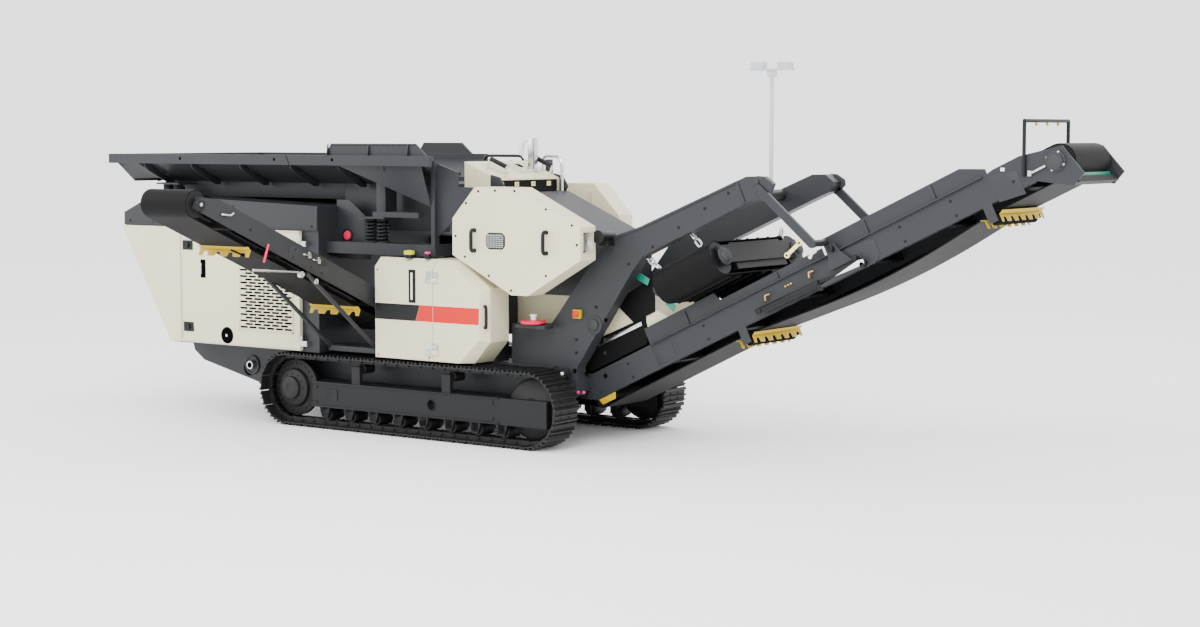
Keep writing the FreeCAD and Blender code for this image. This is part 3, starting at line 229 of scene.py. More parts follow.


# Two-part enamel sprayed on steel plate: a satin sheen, faint orange peel, and a lighter painted highlight
# along the edges.
DARK_ENAMEL = Finish("dark_grey_enamel", Slot.DARK, "#24262A", "#292B2F", 0.46, painted_edge_highlight="#585B60",
    sheen=0.3)
BLACK_ENAMEL = Finish("black_enamel", Slot.BLACK, "#101113", "#16171A", 0.42, painted_edge_highlight="#35373A",
    sheen=0.22)
CREAM_ENAMEL = Finish("cream_enamel", Slot.CREAM, "#D1CAA9", "#D8D1B3", 0.42, edge_mm=14.0,
    painted_edge_highlight="#EEEBE0")
YELLOW_ENAMEL = Finish("safety_yellow_enamel", Slot.YELLOW, "#AA8C00", "#B49600", 0.40, painted_edge_highlight="#D8B820",
    sheen=0.3)
RED_ENAMEL = Finish("signal_red_enamel", Slot.CREAM, "#C40C06", "#CC120B", 0.40, sheen=0.3)
PINK_ENAMEL = Finish("pink_red_enamel", Slot.CREAM, "#C80A3C", "#D01145", 0.38)
GREEN_ENAMEL = Finish("teal_green_enamel", Slot.CREAM, "#007A62", "#04866C", 0.40, painted_edge_highlight="#4FBFA8")
# Cast and forged steel that runs in dirt: dull, pitted, nearly black.
TRACK_CASTING = Finish("forged_track_steel", Slot.TRACK, "#151516", "#1C1C1D", 0.58, metallic=0.35,
    cloud_mm=250.0, grain_mm=14.0, grain_depth_mm=0.6, painted_edge_highlight="#3C3D40")
TRACK_ENAMEL = Finish("track_frame_enamel", Slot.TRACK_FRAME, "#141517", "#191A1C", 0.50,
    painted_edge_highlight="#3C3D40", sheen=0.22)
GREY_CASTING = Finish("grey_cast_iron", Slot.CAST, "#2E2F30", "#393A3B", 0.62, metallic=0.5, grain_mm=6.0,
    grain_depth_mm=0.5)
# Conveyor rubber: calendered, matt, with a fine ply grain.
BELT_RUBBER = Finish("conveyor_rubber", Slot.RUBBER, "#0E0E0F", "#131314", 0.62, cloud_mm=900.0, grain_mm=5.0,
    grain_depth_mm=0.3, sheen=0.12)
SHEET_RUBBER = Finish("sheet_rubber", Slot.RUBBER, "#0B0B0C", "#101011", 0.66, grain_mm=5.0,
    grain_depth_mm=0.3, sheen=0.1)
GRIP_PLASTIC = Finish("moulded_grip_plastic", Slot.BLACK, "#0C0D0E", "#111213", 0.44, grain_mm=3.0,
    sheen=0.25)
MAGENTA_PLASTIC = Finish("magenta_plastic", Slot.CREAM, "#C81478", "#D22084", 0.35)
CREAM_PLASTIC = Finish("pale_yellow_plastic", Slot.CREAM, "#EEE28C", "#F2E89A", 0.40)
WHITE_PLASTIC = Finish("white_plastic", Slot.ALUMINIUM, "#E9EAEA", "#F1F2F2", 0.36)
# Bright zinc plate and machined steel: drawn with the direction of its grain left out at this size.
ZINC_PLATE = Finish("bright_zinc_plate", Slot.ZINC, "#C3C7CC", "#D2D6DA", 0.28, metallic=1.0, grain_mm=12.0,
    edge_mm=2.0)
DRUM_LAGGING = Finish("rubber_drum_lagging", Slot.DRUM, "#161718", "#1D1E1F", 0.52, grain_mm=8.0,
    grain_depth_mm=0.6, sheen=0.15)
CAST_ALUMINIUM = Finish("cast_aluminium", Slot.ALUMINIUM, "#BFC3C7", "#CED1D4", 0.36, metallic=1.0)
SHADOW_BLACK = Finish("unlit_interior", Slot.BLACK, "#08080A", "#0B0B0D", 0.85, sheen=0.0)
BRASS = Finish("brass_fitting", Slot.ZINC, "#C9A45A", "#D6B46C", 0.32, metallic=0.8, grain_mm=12.0,
    edge_mm=2.0)
LIME_PLASTIC = Finish("lime_plastic", Slot.YELLOW, "#A9B400", "#B6C20A", 0.40)

NODE_FINISH = {finish.slot: finish for finish in (DARK_ENAMEL, BLACK_ENAMEL, CREAM_ENAMEL, YELLOW_ENAMEL,
    TRACK_CASTING, TRACK_ENAMEL, GREY_CASTING, BELT_RUBBER, DRUM_LAGGING, ZINC_PLATE, CAST_ALUMINIUM)}


# ------------------------------------------------------------------ places
@dataclass
class Places:
    """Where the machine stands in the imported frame."""

    origin: Vector = field(default_factory=Vector)

    def read(self) -> None:
        """Finds the front track idler's ground point on the middle plane."""
        near_low, near_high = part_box("track_shoes_near")
        _, far_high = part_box("track_shoes_far")
        self.origin = Vector((near_high.x - TRACK_TIP, (near_low.y + far_high.y) / 2, near_low.z))

    def at(self, x: float, y: float, z: float) -> Vector:
        """A point given from the front track idler, across and up from the ground."""
        return self.origin + Vector((x, y, z))

    def slope(self, s: float, n: float, y: float) -> Vector:
        """A point on the discharge conveyor: along it, square to it, and across."""
        cos, sin = math.cos(CONVEYOR_TILT), math.sin(CONVEYOR_TILT)
        return self.at(CONVEYOR_FOOT[0] + s * cos - n * sin, y, CONVEYOR_FOOT[1] + s * sin + n * cos)

    def mirrored(self, points: Iterable[Vector]) -> list[Vector]:
        """The same points on the other side of the middle plane."""
        return [Vector((p.x, 2 * self.origin.y - p.y, p.z)) for p in points]

    def side(self, t: float, n: float, x: float) -> Vector:
        """A point on the side conveyor: up it from the tail drum, square to it, and along the machine."""
        cos, sin = math.cos(SIDE_TILT), math.sin(SIDE_TILT)
        return self.at(x, SIDE_TAIL[0] - t * cos + n * sin, SIDE_TAIL[1] + t * sin + n * cos)


HERE = Places()
at, slope = HERE.at, HERE.slope


# ------------------------------------------------------------------ modelling by hand
def deselect() -> None:
    """Leaves edit mode and clears the selection."""
    if bpy.context.object and bpy.context.object.mode != "OBJECT":
        bpy.ops.object.mode_set(mode="OBJECT")
    bpy.ops.object.select_all(action="DESELECT")


def only(piece: bpy.types.Object) -> bpy.types.Object:
    """Selects one piece and makes it active."""
    deselect()
    piece.select_set(True)
    bpy.context.view_layer.objects.active = piece
    return piece


def applied() -> bpy.types.Object:
    """Applies the active piece's place, turn and size to its mesh."""
    bpy.ops.object.transform_apply(location=True, rotation=True, scale=True)
    return bpy.context.object


def turn_to(direction: Vector) -> Matrix:
    """The rotation that takes +Z to a direction."""
    return direction.to_track_quat("Z", "Y").to_matrix().to_4x4()


def select_faces(piece: bpy.types.Object, wanted: Callable[[bmesh.types.BMFace], bool]) -> None:
    """In edit mode, selects the faces that a test picks, and no others."""
    bpy.ops.mesh.select_mode(type="FACE")
    bpy.ops.mesh.select_all(action="DESELECT")
    mesh = bmesh.from_edit_mesh(piece.data)
    for face in mesh.faces:
        face.select_set(wanted(face))
    bmesh.update_edit_mesh(piece.data)


def box(low: Vector, high: Vector, inset: float = 0.0) -> bpy.types.Object:
    """A block between two corners, with its two largest faces drawn in a little.

    Args:
        low: lowest corner.
        high: highest corner.
        inset: width of a shallow step round its large faces, or 0 for none.

    Returns:
        The block.
    """
    deselect()
    size = high - low
    bpy.ops.mesh.primitive_cube_add(size=1.0, location=(low + high) / 2, scale=size)
    piece = applied()
    if inset:
        thin = min(range(3), key=lambda i: size[i])
        bpy.ops.object.mode_set(mode="EDIT")
        select_faces(piece, lambda face: abs(face.normal[thin]) > 0.9)
        bpy.ops.mesh.inset(thickness=inset, depth=-inset * 0.3, use_individual=True)
        bpy.ops.object.mode_set(mode="OBJECT")
    return piece


def drawn(points: Sequence[Vector], travel: Vector) -> bpy.types.Object:
    """A plate drawn corner by corner, filled, and pulled to its thickness.

    Args:
        points: its corners in order.
        travel: thickness as a vector.

    Returns:
        The plate.
    """
    deselect()
    bpy.ops.mesh.primitive_plane_add(size=0.01, location=points[0])
    piece = applied()
    bpy.ops.object.mode_set(mode="EDIT")
    bpy.ops.mesh.select_mode(type="VERT")
    bpy.ops.mesh.select_all(action="SELECT")
    bpy.ops.mesh.merge(type="CENTER")
    for start, end in zip(points, points[1:]):
        bpy.ops.mesh.extrude_vertices_move(TRANSFORM_OT_translate={"value": end - start})
    bpy.ops.mesh.select_all(action="SELECT")
    bpy.ops.mesh.edge_face_add()
    if travel.length:
        bpy.ops.mesh.extrude_region_move(TRANSFORM_OT_translate={"value": travel})
        bpy.ops.mesh.select_all(action="SELECT")
        bpy.ops.mesh.normals_make_consistent(inside=False)
    bpy.ops.object.mode_set(mode="OBJECT")
    return piece


def rod(start: Vector, end: Vector, radius: float, sides: int = 20, lip: float = 0.0) -> bpy.types.Object:
    """A round bar between two points, its ends drawn in by a small lip.

    Args:
        start: centre of one end.
        end: centre of the other.
        radius: its radius.
        sides: faces round it.
        lip: width of the ring round each end, or 0 for a tenth of the radius.

    Returns:
        The bar.
    """
    deselect()
    axis = end - start
    bpy.ops.mesh.primitive_cylinder_add(vertices=sides, radius=radius, depth=axis.length,
        location=(start + end) / 2, rotation=turn_to(axis).to_euler())
    piece = applied()
    way = axis.normalized()
    bpy.ops.object.mode_set(mode="EDIT")
    select_faces(piece, lambda face: abs(face.normal.dot(way)) > 0.9)
    bpy.ops.mesh.inset(thickness=lip or radius * 0.12, depth=(lip or radius * 0.12) * 0.6,
        use_individual=True)
    bpy.ops.object.mode_set(mode="OBJECT")
    return piece


def turned(profile: Sequence[tuple[float, float]], centre: Vector, axis: Vector,
           steps: int = 24) -> bpy.types.Object:
    """A turned piece: a profile spun round an axis.

    Args:
        profile: distance along the axis and radius, from one end to the other.
        centre: the axis's zero point.
        axis: its direction.
        steps: faces round it.

    Returns:
        The turned piece, closed where the profile meets the axis.
    """
    turn = turn_to(axis)
    points = [centre + turn @ Vector((radius, 0.0, along)) for along, radius in profile]
    piece = drawn_line(points)
    bpy.ops.object.mode_set(mode="EDIT")
    bpy.ops.mesh.select_all(action="SELECT")
    bpy.ops.mesh.spin(steps=steps, angle=math.tau, center=centre, axis=axis.normalized())
    bpy.ops.mesh.select_all(action="SELECT")
    bpy.ops.mesh.remove_doubles(threshold=0.0002)
    bpy.ops.mesh.normals_make_consistent(inside=False)
    bpy.ops.object.mode_set(mode="OBJECT")
    return piece


def drawn_line(points: Sequence[Vector]) -> bpy.types.Object:
    """An open line drawn from point to point."""
    deselect()
    bpy.ops.mesh.primitive_plane_add(size=0.01, location=points[0])
    piece = applied()
    bpy.ops.object.mode_set(mode="EDIT")
    bpy.ops.mesh.select_mode(type="VERT")
    bpy.ops.mesh.select_all(action="SELECT")
    bpy.ops.mesh.merge(type="CENTER")
    for start, end in zip(points, points[1:]):
        bpy.ops.mesh.extrude_vertices_move(TRANSFORM_OT_translate={"value": end - start})
    bpy.ops.object.mode_set(mode="OBJECT")
    return piece


def disc(radius: float, depth: float, place: Vector, facing: Vector, steps: int) -> bpy.types.Object:
    """A flat round pad that stands on a place and faces one way."""
    return turned([(0.0, radius), (depth, radius), (depth, 0.0)], place, facing, steps)


def panel(y: float, outline: Iterable[tuple[float, float]], thickness: float) -> bpy.types.Object:
    """An upright plate in the plane of a side, its corners given along and up, its thickness across."""
    return drawn([at(x, y, z) for x, z in outline], Vector((0, thickness, 0)))


def sloped(y: float, outline: Iterable[tuple[float, float]], travel: Vector) -> bpy.types.Object:
    """A plate on the side of the discharge conveyor, its corners given along the belt and square to it."""
    return drawn([slope(s, n, y) for s, n in outline], travel)


def bent(points: Sequence[Vector], radius: float, bend: float = 0.03) -> bpy.types.Object:
    """A bar or tube bent round its corners.

    Args:
        points: its corners.
        radius: of its section.
        bend: how far from a corner the bend starts.

    Returns:
        The bar, as a mesh.
    """
    path = [points[0]]
    for before, corner, after in zip(points, points[1:], points[2:]):
        a = corner + (before - corner).normalized() * min(bend, (before - corner).length * 0.45)
        b = corner + (after - corner).normalized() * min(bend, (after - corner).length * 0.45)
        path += [a.lerp(corner, t).lerp(corner.lerp(b, t), t) for t in (0.0, 0.25, 0.5, 0.75, 1.0)]
    path.append(points[-1])
    deselect()
    bpy.ops.curve.primitive_nurbs_path_add(location=(0, 0, 0))
    curve = bpy.context.object
    curve.data.splines.clear()
    spline = curve.data.splines.new("POLY")
    spline.points.add(len(path) - 1)
    for point, place in zip(spline.points, path):
        point.co = (*place, 1.0)
    curve.data.bevel_depth = radius
    curve.data.bevel_resolution = 3
    curve.data.use_fill_caps = True
    bpy.ops.object.convert(target="MESH")
    return bpy.context.object


def hinge_leaf(x: float, y: float, z: float, way: int, reach: float, rise: int = 1) -> bpy.types.Object:
    """One tapered leaf of a cast hinge.

    Args:
        x: the hinge's axis.
        y: the face that the leaf lies on.
        z: the hinge's height.
        way: 1 for a leaf that points ahead, -1 for one that points back.
        reach: from the axis to the leaf's tip.
        rise: 1 for a leaf above the height, -1 for one below it.

    Returns:
        The leaf.
    """
    outline = [(0.014, 0.004), (reach, 0.010), (reach, 0.056), (0.014, 0.050)]
    return panel(y, [(x + way * px, z + rise * pz) for px, pz in outline], -0.006)


def copies(piece: bpy.types.Object, places: Iterable[Matrix]) -> bpy.types.Object:
    """Copies a piece modelled at the origin to each place, each with its own mesh, as one object.

    Args:
        piece: the model, which is used up.
        places: where each copy goes.

    Returns:
        All copies joined.
    """
    made = []
    for place in places:
        twin = piece.copy()
        twin.data = piece.data.copy()
        bpy.context.scene.collection.objects.link(twin)
        twin.data.transform(place)
        made.append(twin)
    bpy.data.objects.remove(piece)
    return joined(made)


def joined(pieces: Sequence[bpy.types.Object]) -> bpy.types.Object:
    """Joins pieces into the first one."""
    deselect()
    for piece in pieces:
        piece.select_set(True)
    bpy.context.view_layer.objects.active = pieces[0]
    if len(pieces) > 1:
        bpy.ops.object.join()
    return bpy.context.object


def hex_bolt(size: float) -> bpy.types.Object:
    """A flanged hexagon bolt head that stands on the origin and points up, size across its corners."""
    deselect()
    bpy.ops.mesh.primitive_cylinder_add(vertices=12, radius=size * 0.72, depth=size * 0.12, location=(0, 0,
        size * 0.06))
    piece = applied()
    bpy.ops.object.mode_set(mode="EDIT")
    select_faces(piece, lambda face: face.normal.z > 0.9)
    bpy.ops.mesh.inset(thickness=size * 0.2)
    bpy.ops.mesh.extrude_region_move(TRANSFORM_OT_translate={"value": (0, 0, size * 0.38)})
    bpy.ops.mesh.inset(thickness=size * 0.12, depth=size * 0.03)
    bpy.ops.object.mode_set(mode="OBJECT")
    return piece


def bolts(places: Iterable[Vector], facing: Vector, size: float = 0.03) -> bpy.types.Object:
    """Bolt heads at places, all facing one way."""
    turn = turn_to(facing)
    return copies(hex_bolt(size), [Matrix.Translation(p) @ turn for p in places])


def slotted(corner: Vector, across: Vector, up: Vector, columns: int, rows: int, span: int, stagger: int,
            depth: float, rim: float) -> bpy.types.Object:
    """A thin plate with rows of slots pressed into it, each row shifted from the last.

    Args:
        corner: the plate's lower left corner.
        across: its width as a vector.
        up: its height as a vector.
        columns: cells across.
        rows: rows of slots.
        span: cells that a slot takes, with one cell between slots.
        stagger: cells that every other row is shifted by.
        depth: how deep the slots go.
        rim: width of the slot's pressed edge.

    Returns:
        The plate, with the slots' floors on its second material.
    """
    deselect()
    normal = across.cross(up).normalized()
    bands = rows * 3 + 1
    bpy.ops.mesh.primitive_grid_add(x_subdivisions=columns, y_subdivisions=bands, size=1.0, location=(0, 0,
        0))
    piece = bpy.context.object
    bpy.ops.object.mode_set(mode="EDIT")

    def in_slot(face: bmesh.types.BMFace) -> bool:
        """Tells whether a cell belongs to a slot."""
        centre = face.calc_center_median()
        column, band = int((centre.x + 0.5) * columns), int((centre.y + 0.5) * bands)
        if band % 3 == 0:
            return False
        cell = (column + stagger * (band // 3 % 2)) % (span + 1)
        first = column - cell
        return cell < span and first >= 0 and first + span <= columns

    select_faces(piece, in_slot)
    bpy.ops.mesh.dissolve_faces()
    mesh = bmesh.from_edit_mesh(piece.data)
    frame = Matrix(((across.x, up.x, normal.x, 0), (across.y, up.y, normal.y, 0), (across.z, up.z, normal.z,
        0), (0, 0, 0, 1)))
    bmesh.ops.transform(mesh, matrix=Matrix.Translation(corner + (across + up) / 2) @ frame, verts=mesh.verts)
    bmesh.update_edit_mesh(piece.data)
    bpy.ops.mesh.inset(thickness=rim, use_individual=True)
    bpy.ops.mesh.extrude_region_move(TRANSFORM_OT_translate={"value": normal * -depth})
    mesh = bmesh.from_edit_mesh(piece.data)
    for face in mesh.faces:
        face.material_index = 1 if face.select else 0
    bmesh.update_edit_mesh(piece.data)
    bpy.ops.object.mode_set(mode="OBJECT")
    return piece


def comb(place: Callable[[float, float], Vector], travel: Vector, low: float, high: float, top: float,
         foot: float,
         teeth: int) -> list[bpy.types.Object]:
    """A folded guard: a strip on top, and a face below it with slots open at the foot.

    Args:
        place: turns values across and square to the belt into a point.
        travel: the plate's thickness as a vector, away from the face.
        low: where the guard starts across the belt.
        high: where it ends.
        top: upper edge of its face.
        foot: lower edge.
        teeth: number of slots.

    Returns:
        The face and the strip.
    """
    outline = [(low, top), (high, top), (high, foot)]
    pitch = (high - low) / teeth
    for i in range(teeth):
        right = high - i * pitch
        rise = foot + (top - foot) * 0.55
        outline += [(right - pitch * 0.26, foot), (right - pitch * 0.34, rise), (right - pitch * 0.42,
            rise + 0.008), (right - pitch * 0.58, rise + 0.008), (right - pitch * 0.66, rise),
            (right - pitch * 0.74, foot)]
    outline.append((low, foot))
    face = drawn([place(u, n) for u, n in outline], travel)
    lean = travel.normalized() * -0.045
    lift = place(0.0, top + 0.022) - place(0.0, top)
    strip = drawn([place(low, top), place(high, top), place(high, top) + lean + lift, place(low, top) + lean
        + lift], travel + lift * 0.1)
    return [face, strip]


@dataclass
class SubAssembly:
    """A named group of pieces that stand on one CAD body."""

    body: str = "machine"

    def keep(self, name: str, pieces: Sequence[bpy.types.Object], finish: Finish, bevel: float = 0.0,
             floor: Finish | None = None, body: str = "", stands_for: Sequence[str] = (),
             slot: Slot | None = None) -> bpy.types.Object:
        """Joins pieces, rounds their edges, dresses them and lets them ride on a body.

        Args:
            name: the piece's name.
            pieces: what it is made of.
            finish: its surface.
            bevel: edge radius, or 0 for none.
            floor: the finish of its second material, for slotted plates.
            body: the CAD body it rides on, if not the group's own.
            stands_for: CAD nodes that it is shown in place of.
            slot: the record's slot, if not the finish's own; not used.

        Returns:
            The finished piece.
        """
        piece = only(joined(list(pieces)))
        piece.name = piece.data.name = name
        if bevel:
            rounding = piece.modifiers.new("rounding", "BEVEL")
            rounding.width, rounding.segments = bevel, 2
            rounding.limit_method, rounding.angle_limit = "ANGLE", math.radians(35)
            bpy.ops.object.modifier_apply(modifier=rounding.name)
        bpy.ops.object.transform_apply(location=True, rotation=True, scale=True)
        bpy.ops.object.shade_smooth_by_angle(angle=math.radians(32))
        mesh = piece.data
        floors = [face.material_index for face in mesh.polygons]
        mesh.materials.clear()
        mesh.materials.append(finish.material())
        if floor:
            mesh.materials.append(floor.material())
            mesh.polygons.foreach_set("material_index", floors)
        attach(piece, body or self.body)
        if stands_for:
            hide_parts(*stands_for)
        LOG.info("%s: %d faces", name, len(piece.data.polygons))
        return piece


SHOE_RING = 0.390          # radius that the shoes' pitch is measured on


@dataclass
class Tracks(SubAssembly):
    """Crawler tracks: shoes, links, rollers, idler, sprocket and the frame's fittings."""

    centres: float = 3.460
    radius: float = 0.339           # under the shoes' plates
    shoe_width: float = 0.424
    outer: float = 1.250            # |Y| of the shoes' outer ends
    shoe_count: int = 54
    rollers_at: float = 0.560       # first bottom roller, from the sprocket
    rollers_run: float = 0.900      # centres less the run of the bottom rollers
    roller_count: int = 8

    def shoe(self) -> bpy.types.Object:
        """One triple-grouser shoe with its two chain links, at the origin, tread up along +Z."""
        pitch = (2 * self.centres + math.tau * SHOE_RING) / self.shoe_count
        half, plate, top = pitch / 2, 0.058, 0.0845
        profile = [(-half, plate - 0.012), (half * 0.93, plate - 0.012), (half * 0.93, plate), (0.012, plate),
            (0.007, top), (-0.007, top), (-0.012, plate), (-half * 0.62, plate), (-half * 0.68, top - 0.004),
            (-half * 0.80, top - 0.004), (-half, plate + 0.004)]
        half_width = self.shoe_width / 2
        body = drawn([Vector((x, -half_width, z)) for x, z in profile], Vector((0, self.shoe_width, 0)))
        lug = drawn([Vector((x, -half_width, z)) for x, z in ((half * 0.50, plate), (half * 0.78, plate),
            (half * 0.72, top - 0.004), (half * 0.58, top - 0.004))], Vector((0, self.shoe_width, 0)))
        links = []
        for y in (-0.085, 0.055):
            links.append(drawn([Vector((x, y, z)) for x, z in ((-half * 1.05, 0.004), (-half * 0.75, 0.001),
                (half * 0.75, 0.001), (half * 1.05, 0.008), (half * 0.95, 0.046), (-half * 0.95, 0.046))],
                Vector((0, 0.03, 0))))
        pin = rod(Vector((half * 0.8, -0.10, 0.024)), Vector((half * 0.8, 0.10, 0.024)), 0.016, 8)
        nuts = bolts([Vector((x, y, plate)) for x in (-0.032, 0.030) for y in (-0.075, 0.075)], UP, 0.020)
        return joined([body, lug, *links, pin, nuts])

    def places(self, middle: float) -> list[Matrix]:
        """Where each shoe goes round the idler and the sprocket."""
        ring = SHOE_RING
        length = 2 * self.centres + math.tau * ring
        found = []
        for i in range(self.shoe_count):
            run = (i + 0.25) * length / self.shoe_count
            if run < self.centres:
                x, z, tilt = -run, TRACK_TIP + self.radius, 0.0
            elif run < self.centres + math.pi * ring:
                tilt = -(run - self.centres) / ring
                x, z = -self.centres + math.sin(tilt) * self.radius, TRACK_TIP + math.cos(tilt) * self.radius
            elif run < 2 * self.centres + math.pi * ring:
                x = -self.centres + (run - self.centres - math.pi * ring)
                z, tilt = TRACK_TIP - self.radius, math.pi
            else:
                tilt = math.pi - (run - 2 * self.centres - math.pi * ring) / ring
                x, z = math.sin(tilt) * self.radius, TRACK_TIP + math.cos(tilt) * self.radius
            found.append(Matrix.Translation(at(x, middle, z)) @ Matrix.Rotation(tilt, 4, "Y"))
        return found

    def wheels(self, side: int) -> list[bpy.types.Object]:
        """Idler, and toothed sprocket with its drive and bolt rings, of one track."""
        outward = Vector((0, side, 0))
        made = []
        idler = at(0, side * 1.04, TRACK_TIP)
        made.append(turned([(-0.12, 0.0), (-0.12, 0.10), (-0.07, 0.12), (-0.045, 0.30), (-0.02, 0.335),
            (0.02, 0.335), (0.045, 0.30), (0.07, 0.12), (0.12, 0.10), (0.12, 0.0)], idler, outward, 40))
        drive = at(-self.centres, side * 1.04, TRACK_TIP)
        made.append(turned([(-0.13, 0.0), (-0.13, 0.24), (-0.03, 0.24), (-0.025, 0.325), (0.02, 0.325),
            (0.025, 0.235), (0.03, 0.22), (0.075, 0.215), (0.09, 0.19), (0.10, 0.135), (0.135, 0.13),
            (0.145, 0.11), (0.147, 0.05), (0.140, 0.045), (0.140, 0.0)], drive, outward, 40))
        ring = [drive + Vector((math.cos(a) * 0.275, side * 0.024, math.sin(a) * 0.275))
            for a in (math.tau * i / 24 for i in range(24))]
        made.append(bolts(ring, outward, 0.022))
        ring = [drive + Vector((math.cos(a) * 0.165, side * 0.094, math.sin(a) * 0.165))
            for a in (math.tau * i / 12 for i in range(12))]
        made.append(bolts(ring, outward, 0.018))
        return made

    def rollers(self, side: int) -> list[bpy.types.Object]:
        """Bottom rollers with their bosses, and the carriers."""
        first = -self.centres + self.rollers_at
        step = (self.centres - self.rollers_run) / (self.roller_count - 1)
        low = 0.085 + 0.074
        made = []
        for i in range(self.roller_count):
            centre = at(first + i * step, side * 1.04, low)
            made.append(turned([(-0.13, 0.0), (-0.13, 0.045), (-0.11, 0.045), (-0.11, 0.068), (-0.07, 0.073),
                (0.07, 0.073), (0.11, 0.068), (0.11, 0.045), (0.135, 0.045), (0.145, 0.03), (0.145, 0.0)],
                centre, Vector((0, side, 0)), 20))
        for share in (0.70, 0.32):
            centre = at(-self.centres * share, side * 1.03, 0.7026)
            made.append(turned([(-0.10, 0.0), (-0.10, 0.058), (0.06, 0.058), (0.065, 0.04), (0.11, 0.035),
                (0.11, 0.0)], centre, Vector((0, side, 0)), 20))
        return made

    def fittings(self, side: int) -> list[bpy.types.Object]:
        """Roller brackets, frame ribs, the cover plate, the round window's rim and the frame's bolts."""
        face = side * 1.198
        first = -self.centres + self.rollers_at
        step = (self.centres - self.rollers_run) / (self.roller_count - 1)
        made = []
        for i in range(self.roller_count):
            x = first + i * step
            corners = [(x - 0.075, 0.243), (x + 0.075, 0.243), (x + 0.062, 0.185), (x + 0.040, 0.120),
                (x - 0.040, 0.120), (x - 0.062, 0.185)]
            made.append(drawn([at(px, face - side * 0.03, pz) for px, pz in corners],
                Vector((0, side * 0.03, 0))))
        low, high = sorted((face, face + side * 0.008))
        made.append(box(at(-2.86, low, 0.33), at(-2.70, high, 0.46), 0.008))
        made.append(box(at(-3.08, low - 0.004, 0.243), at(-0.37, high + 0.004, 0.262)))
        made.append(box(at(-3.08, low - 0.004, 0.514), at(-0.37, high + 0.004, 0.533)))
        made.append(turned([(0.0, 0.055), (0.006, 0.058), (0.006, 0.068), (0.0, 0.072)], at(-1.315, face,
            0.385), Vector((0, side, 0)), 28))
        made.append(bolts([at(x, high - 0.008 if side > 0 else low + 0.008, z) for x in (-3.02, -0.46)
            for z in (0.30, 0.47)], Vector((0, side, 0)), 0.026))
        return made

    def build(self) -> None:
        """Builds both tracks."""
        for side, word in SIDES:
            middle = side * (self.outer - self.shoe_width / 2)
            shoes = copies(self.shoe(), self.places(middle))
            self.keep(f"shoes_{word}", [shoes], TRACK_CASTING, stands_for=[f"track_shoes_{word}"])
            self.keep(f"wheels_{word}", self.wheels(side) + self.rollers(side), TRACK_CASTING, 0.003,
                stands_for=[f"track_wheels_{word}"])
            self.keep(f"track_fittings_{word}", self.fittings(side), TRACK_ENAMEL, 0.003)


@dataclass
class Studio:
    """Floor, soft lights and the camera."""

    eye: Row = (13.738, -19.080, 3.345)
    heading: float = 35.553
    dip: float = 4.792
    lens: float = 64.224

    def floor(self) -> None:
        """A wide pale floor."""
        deselect()
        bpy.ops.mesh.primitive_grid_add(x_subdivisions=4, y_subdivisions=4, size=400.0, location=at(0, 0,
            -0.002))
        piece = applied()
        piece.name = "studio_floor"
        paper = bpy.data.materials.new("pale_floor")
        paper.use_nodes = True
        shader = next(n for n in paper.node_tree.nodes if n.type == "BSDF_PRINCIPLED")
        shader.inputs["Base Color"].default_value = linear("#FFFFFF")
        shader.inputs["Roughness"].default_value = 0.9
        shader.inputs["Specular IOR Level"].default_value = 0.1
        piece.data.materials.append(paper)
        piece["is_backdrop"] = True

    def lamp(self, name: str, place: Row, aim: Row, size: float, power: float) -> None:
        """One large soft light."""
        lamp = bpy.data.lights.new(name, "AREA")
        lamp.shape, lamp.size, lamp.energy = "DISK", size, power
        holder = bpy.data.objects.new(name, lamp)
        bpy.context.scene.collection.objects.link(holder)
        holder.location = at(*place)
        holder.rotation_euler = (at(*aim) - holder.location).to_track_quat("-Z", "Y").to_euler()

    def build(self) -> None:
        """Sets up the whole studio."""
        self.floor()
        world = bpy.data.worlds.new("studio")
        bpy.context.scene.world = world
        world.use_nodes = True
        ground = next(n for n in world.node_tree.nodes if n.type == "BACKGROUND")
        ground.inputs["Color"].default_value = linear("#FFFFFF")
        ground.inputs["Strength"].default_value = 2.3
        self.lamp("key", (6.0, -14.0, 13.0), (-0.5, 0.0, 1.4), 9.0, 2600.0)
        self.lamp("side", (-14.0, -10.0, 9.0), (-1.0, 0.0, 1.6), 8.0, 900.0)
        self.lamp("back", (3.0, 12.0, 12.0), (0.0, 0.0, 1.5), 9.0, 500.0)
        camera = bpy.data.cameras.new("camera")
        camera.lens, camera.sensor_width, camera.sensor_fit = self.lens, 36.0, "HORIZONTAL"
        camera.clip_end = 500.0
        holder = bpy.data.objects.new("camera", camera)
        bpy.context.scene.collection.objects.link(holder)
        holder.location = at(*self.eye)
        holder.rotation_euler = (math.radians(90.0 - self.dip), 0.0, math.radians(self.heading))
        bpy.context.scene.camera = holder


def dress_nodes(frame: dict) -> None:
    """Gives every CAD node the finish of its slot.
    """
    special = {"side_belt": SHEET_RUBBER, "magnet_belt": SHEET_RUBBER, "boot_skirts": SHEET_RUBBER}
    for part in frame["record"]["subparts"]:
        node = frame["nodes"][part["node"]]
        finish = special.get(part["node"], NODE_FINISH[Slot(part["material_slot"])])
        if not node.material_slots:
            node.data.materials.append(finish.material())
        for slot in node.material_slots:
            slot.material = finish.material()


def corners() -> list[list[float]]:
    """The whole object's box as plain lists."""
    low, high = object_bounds()
    return [[float(v) for v in low], [float(v) for v in high]]


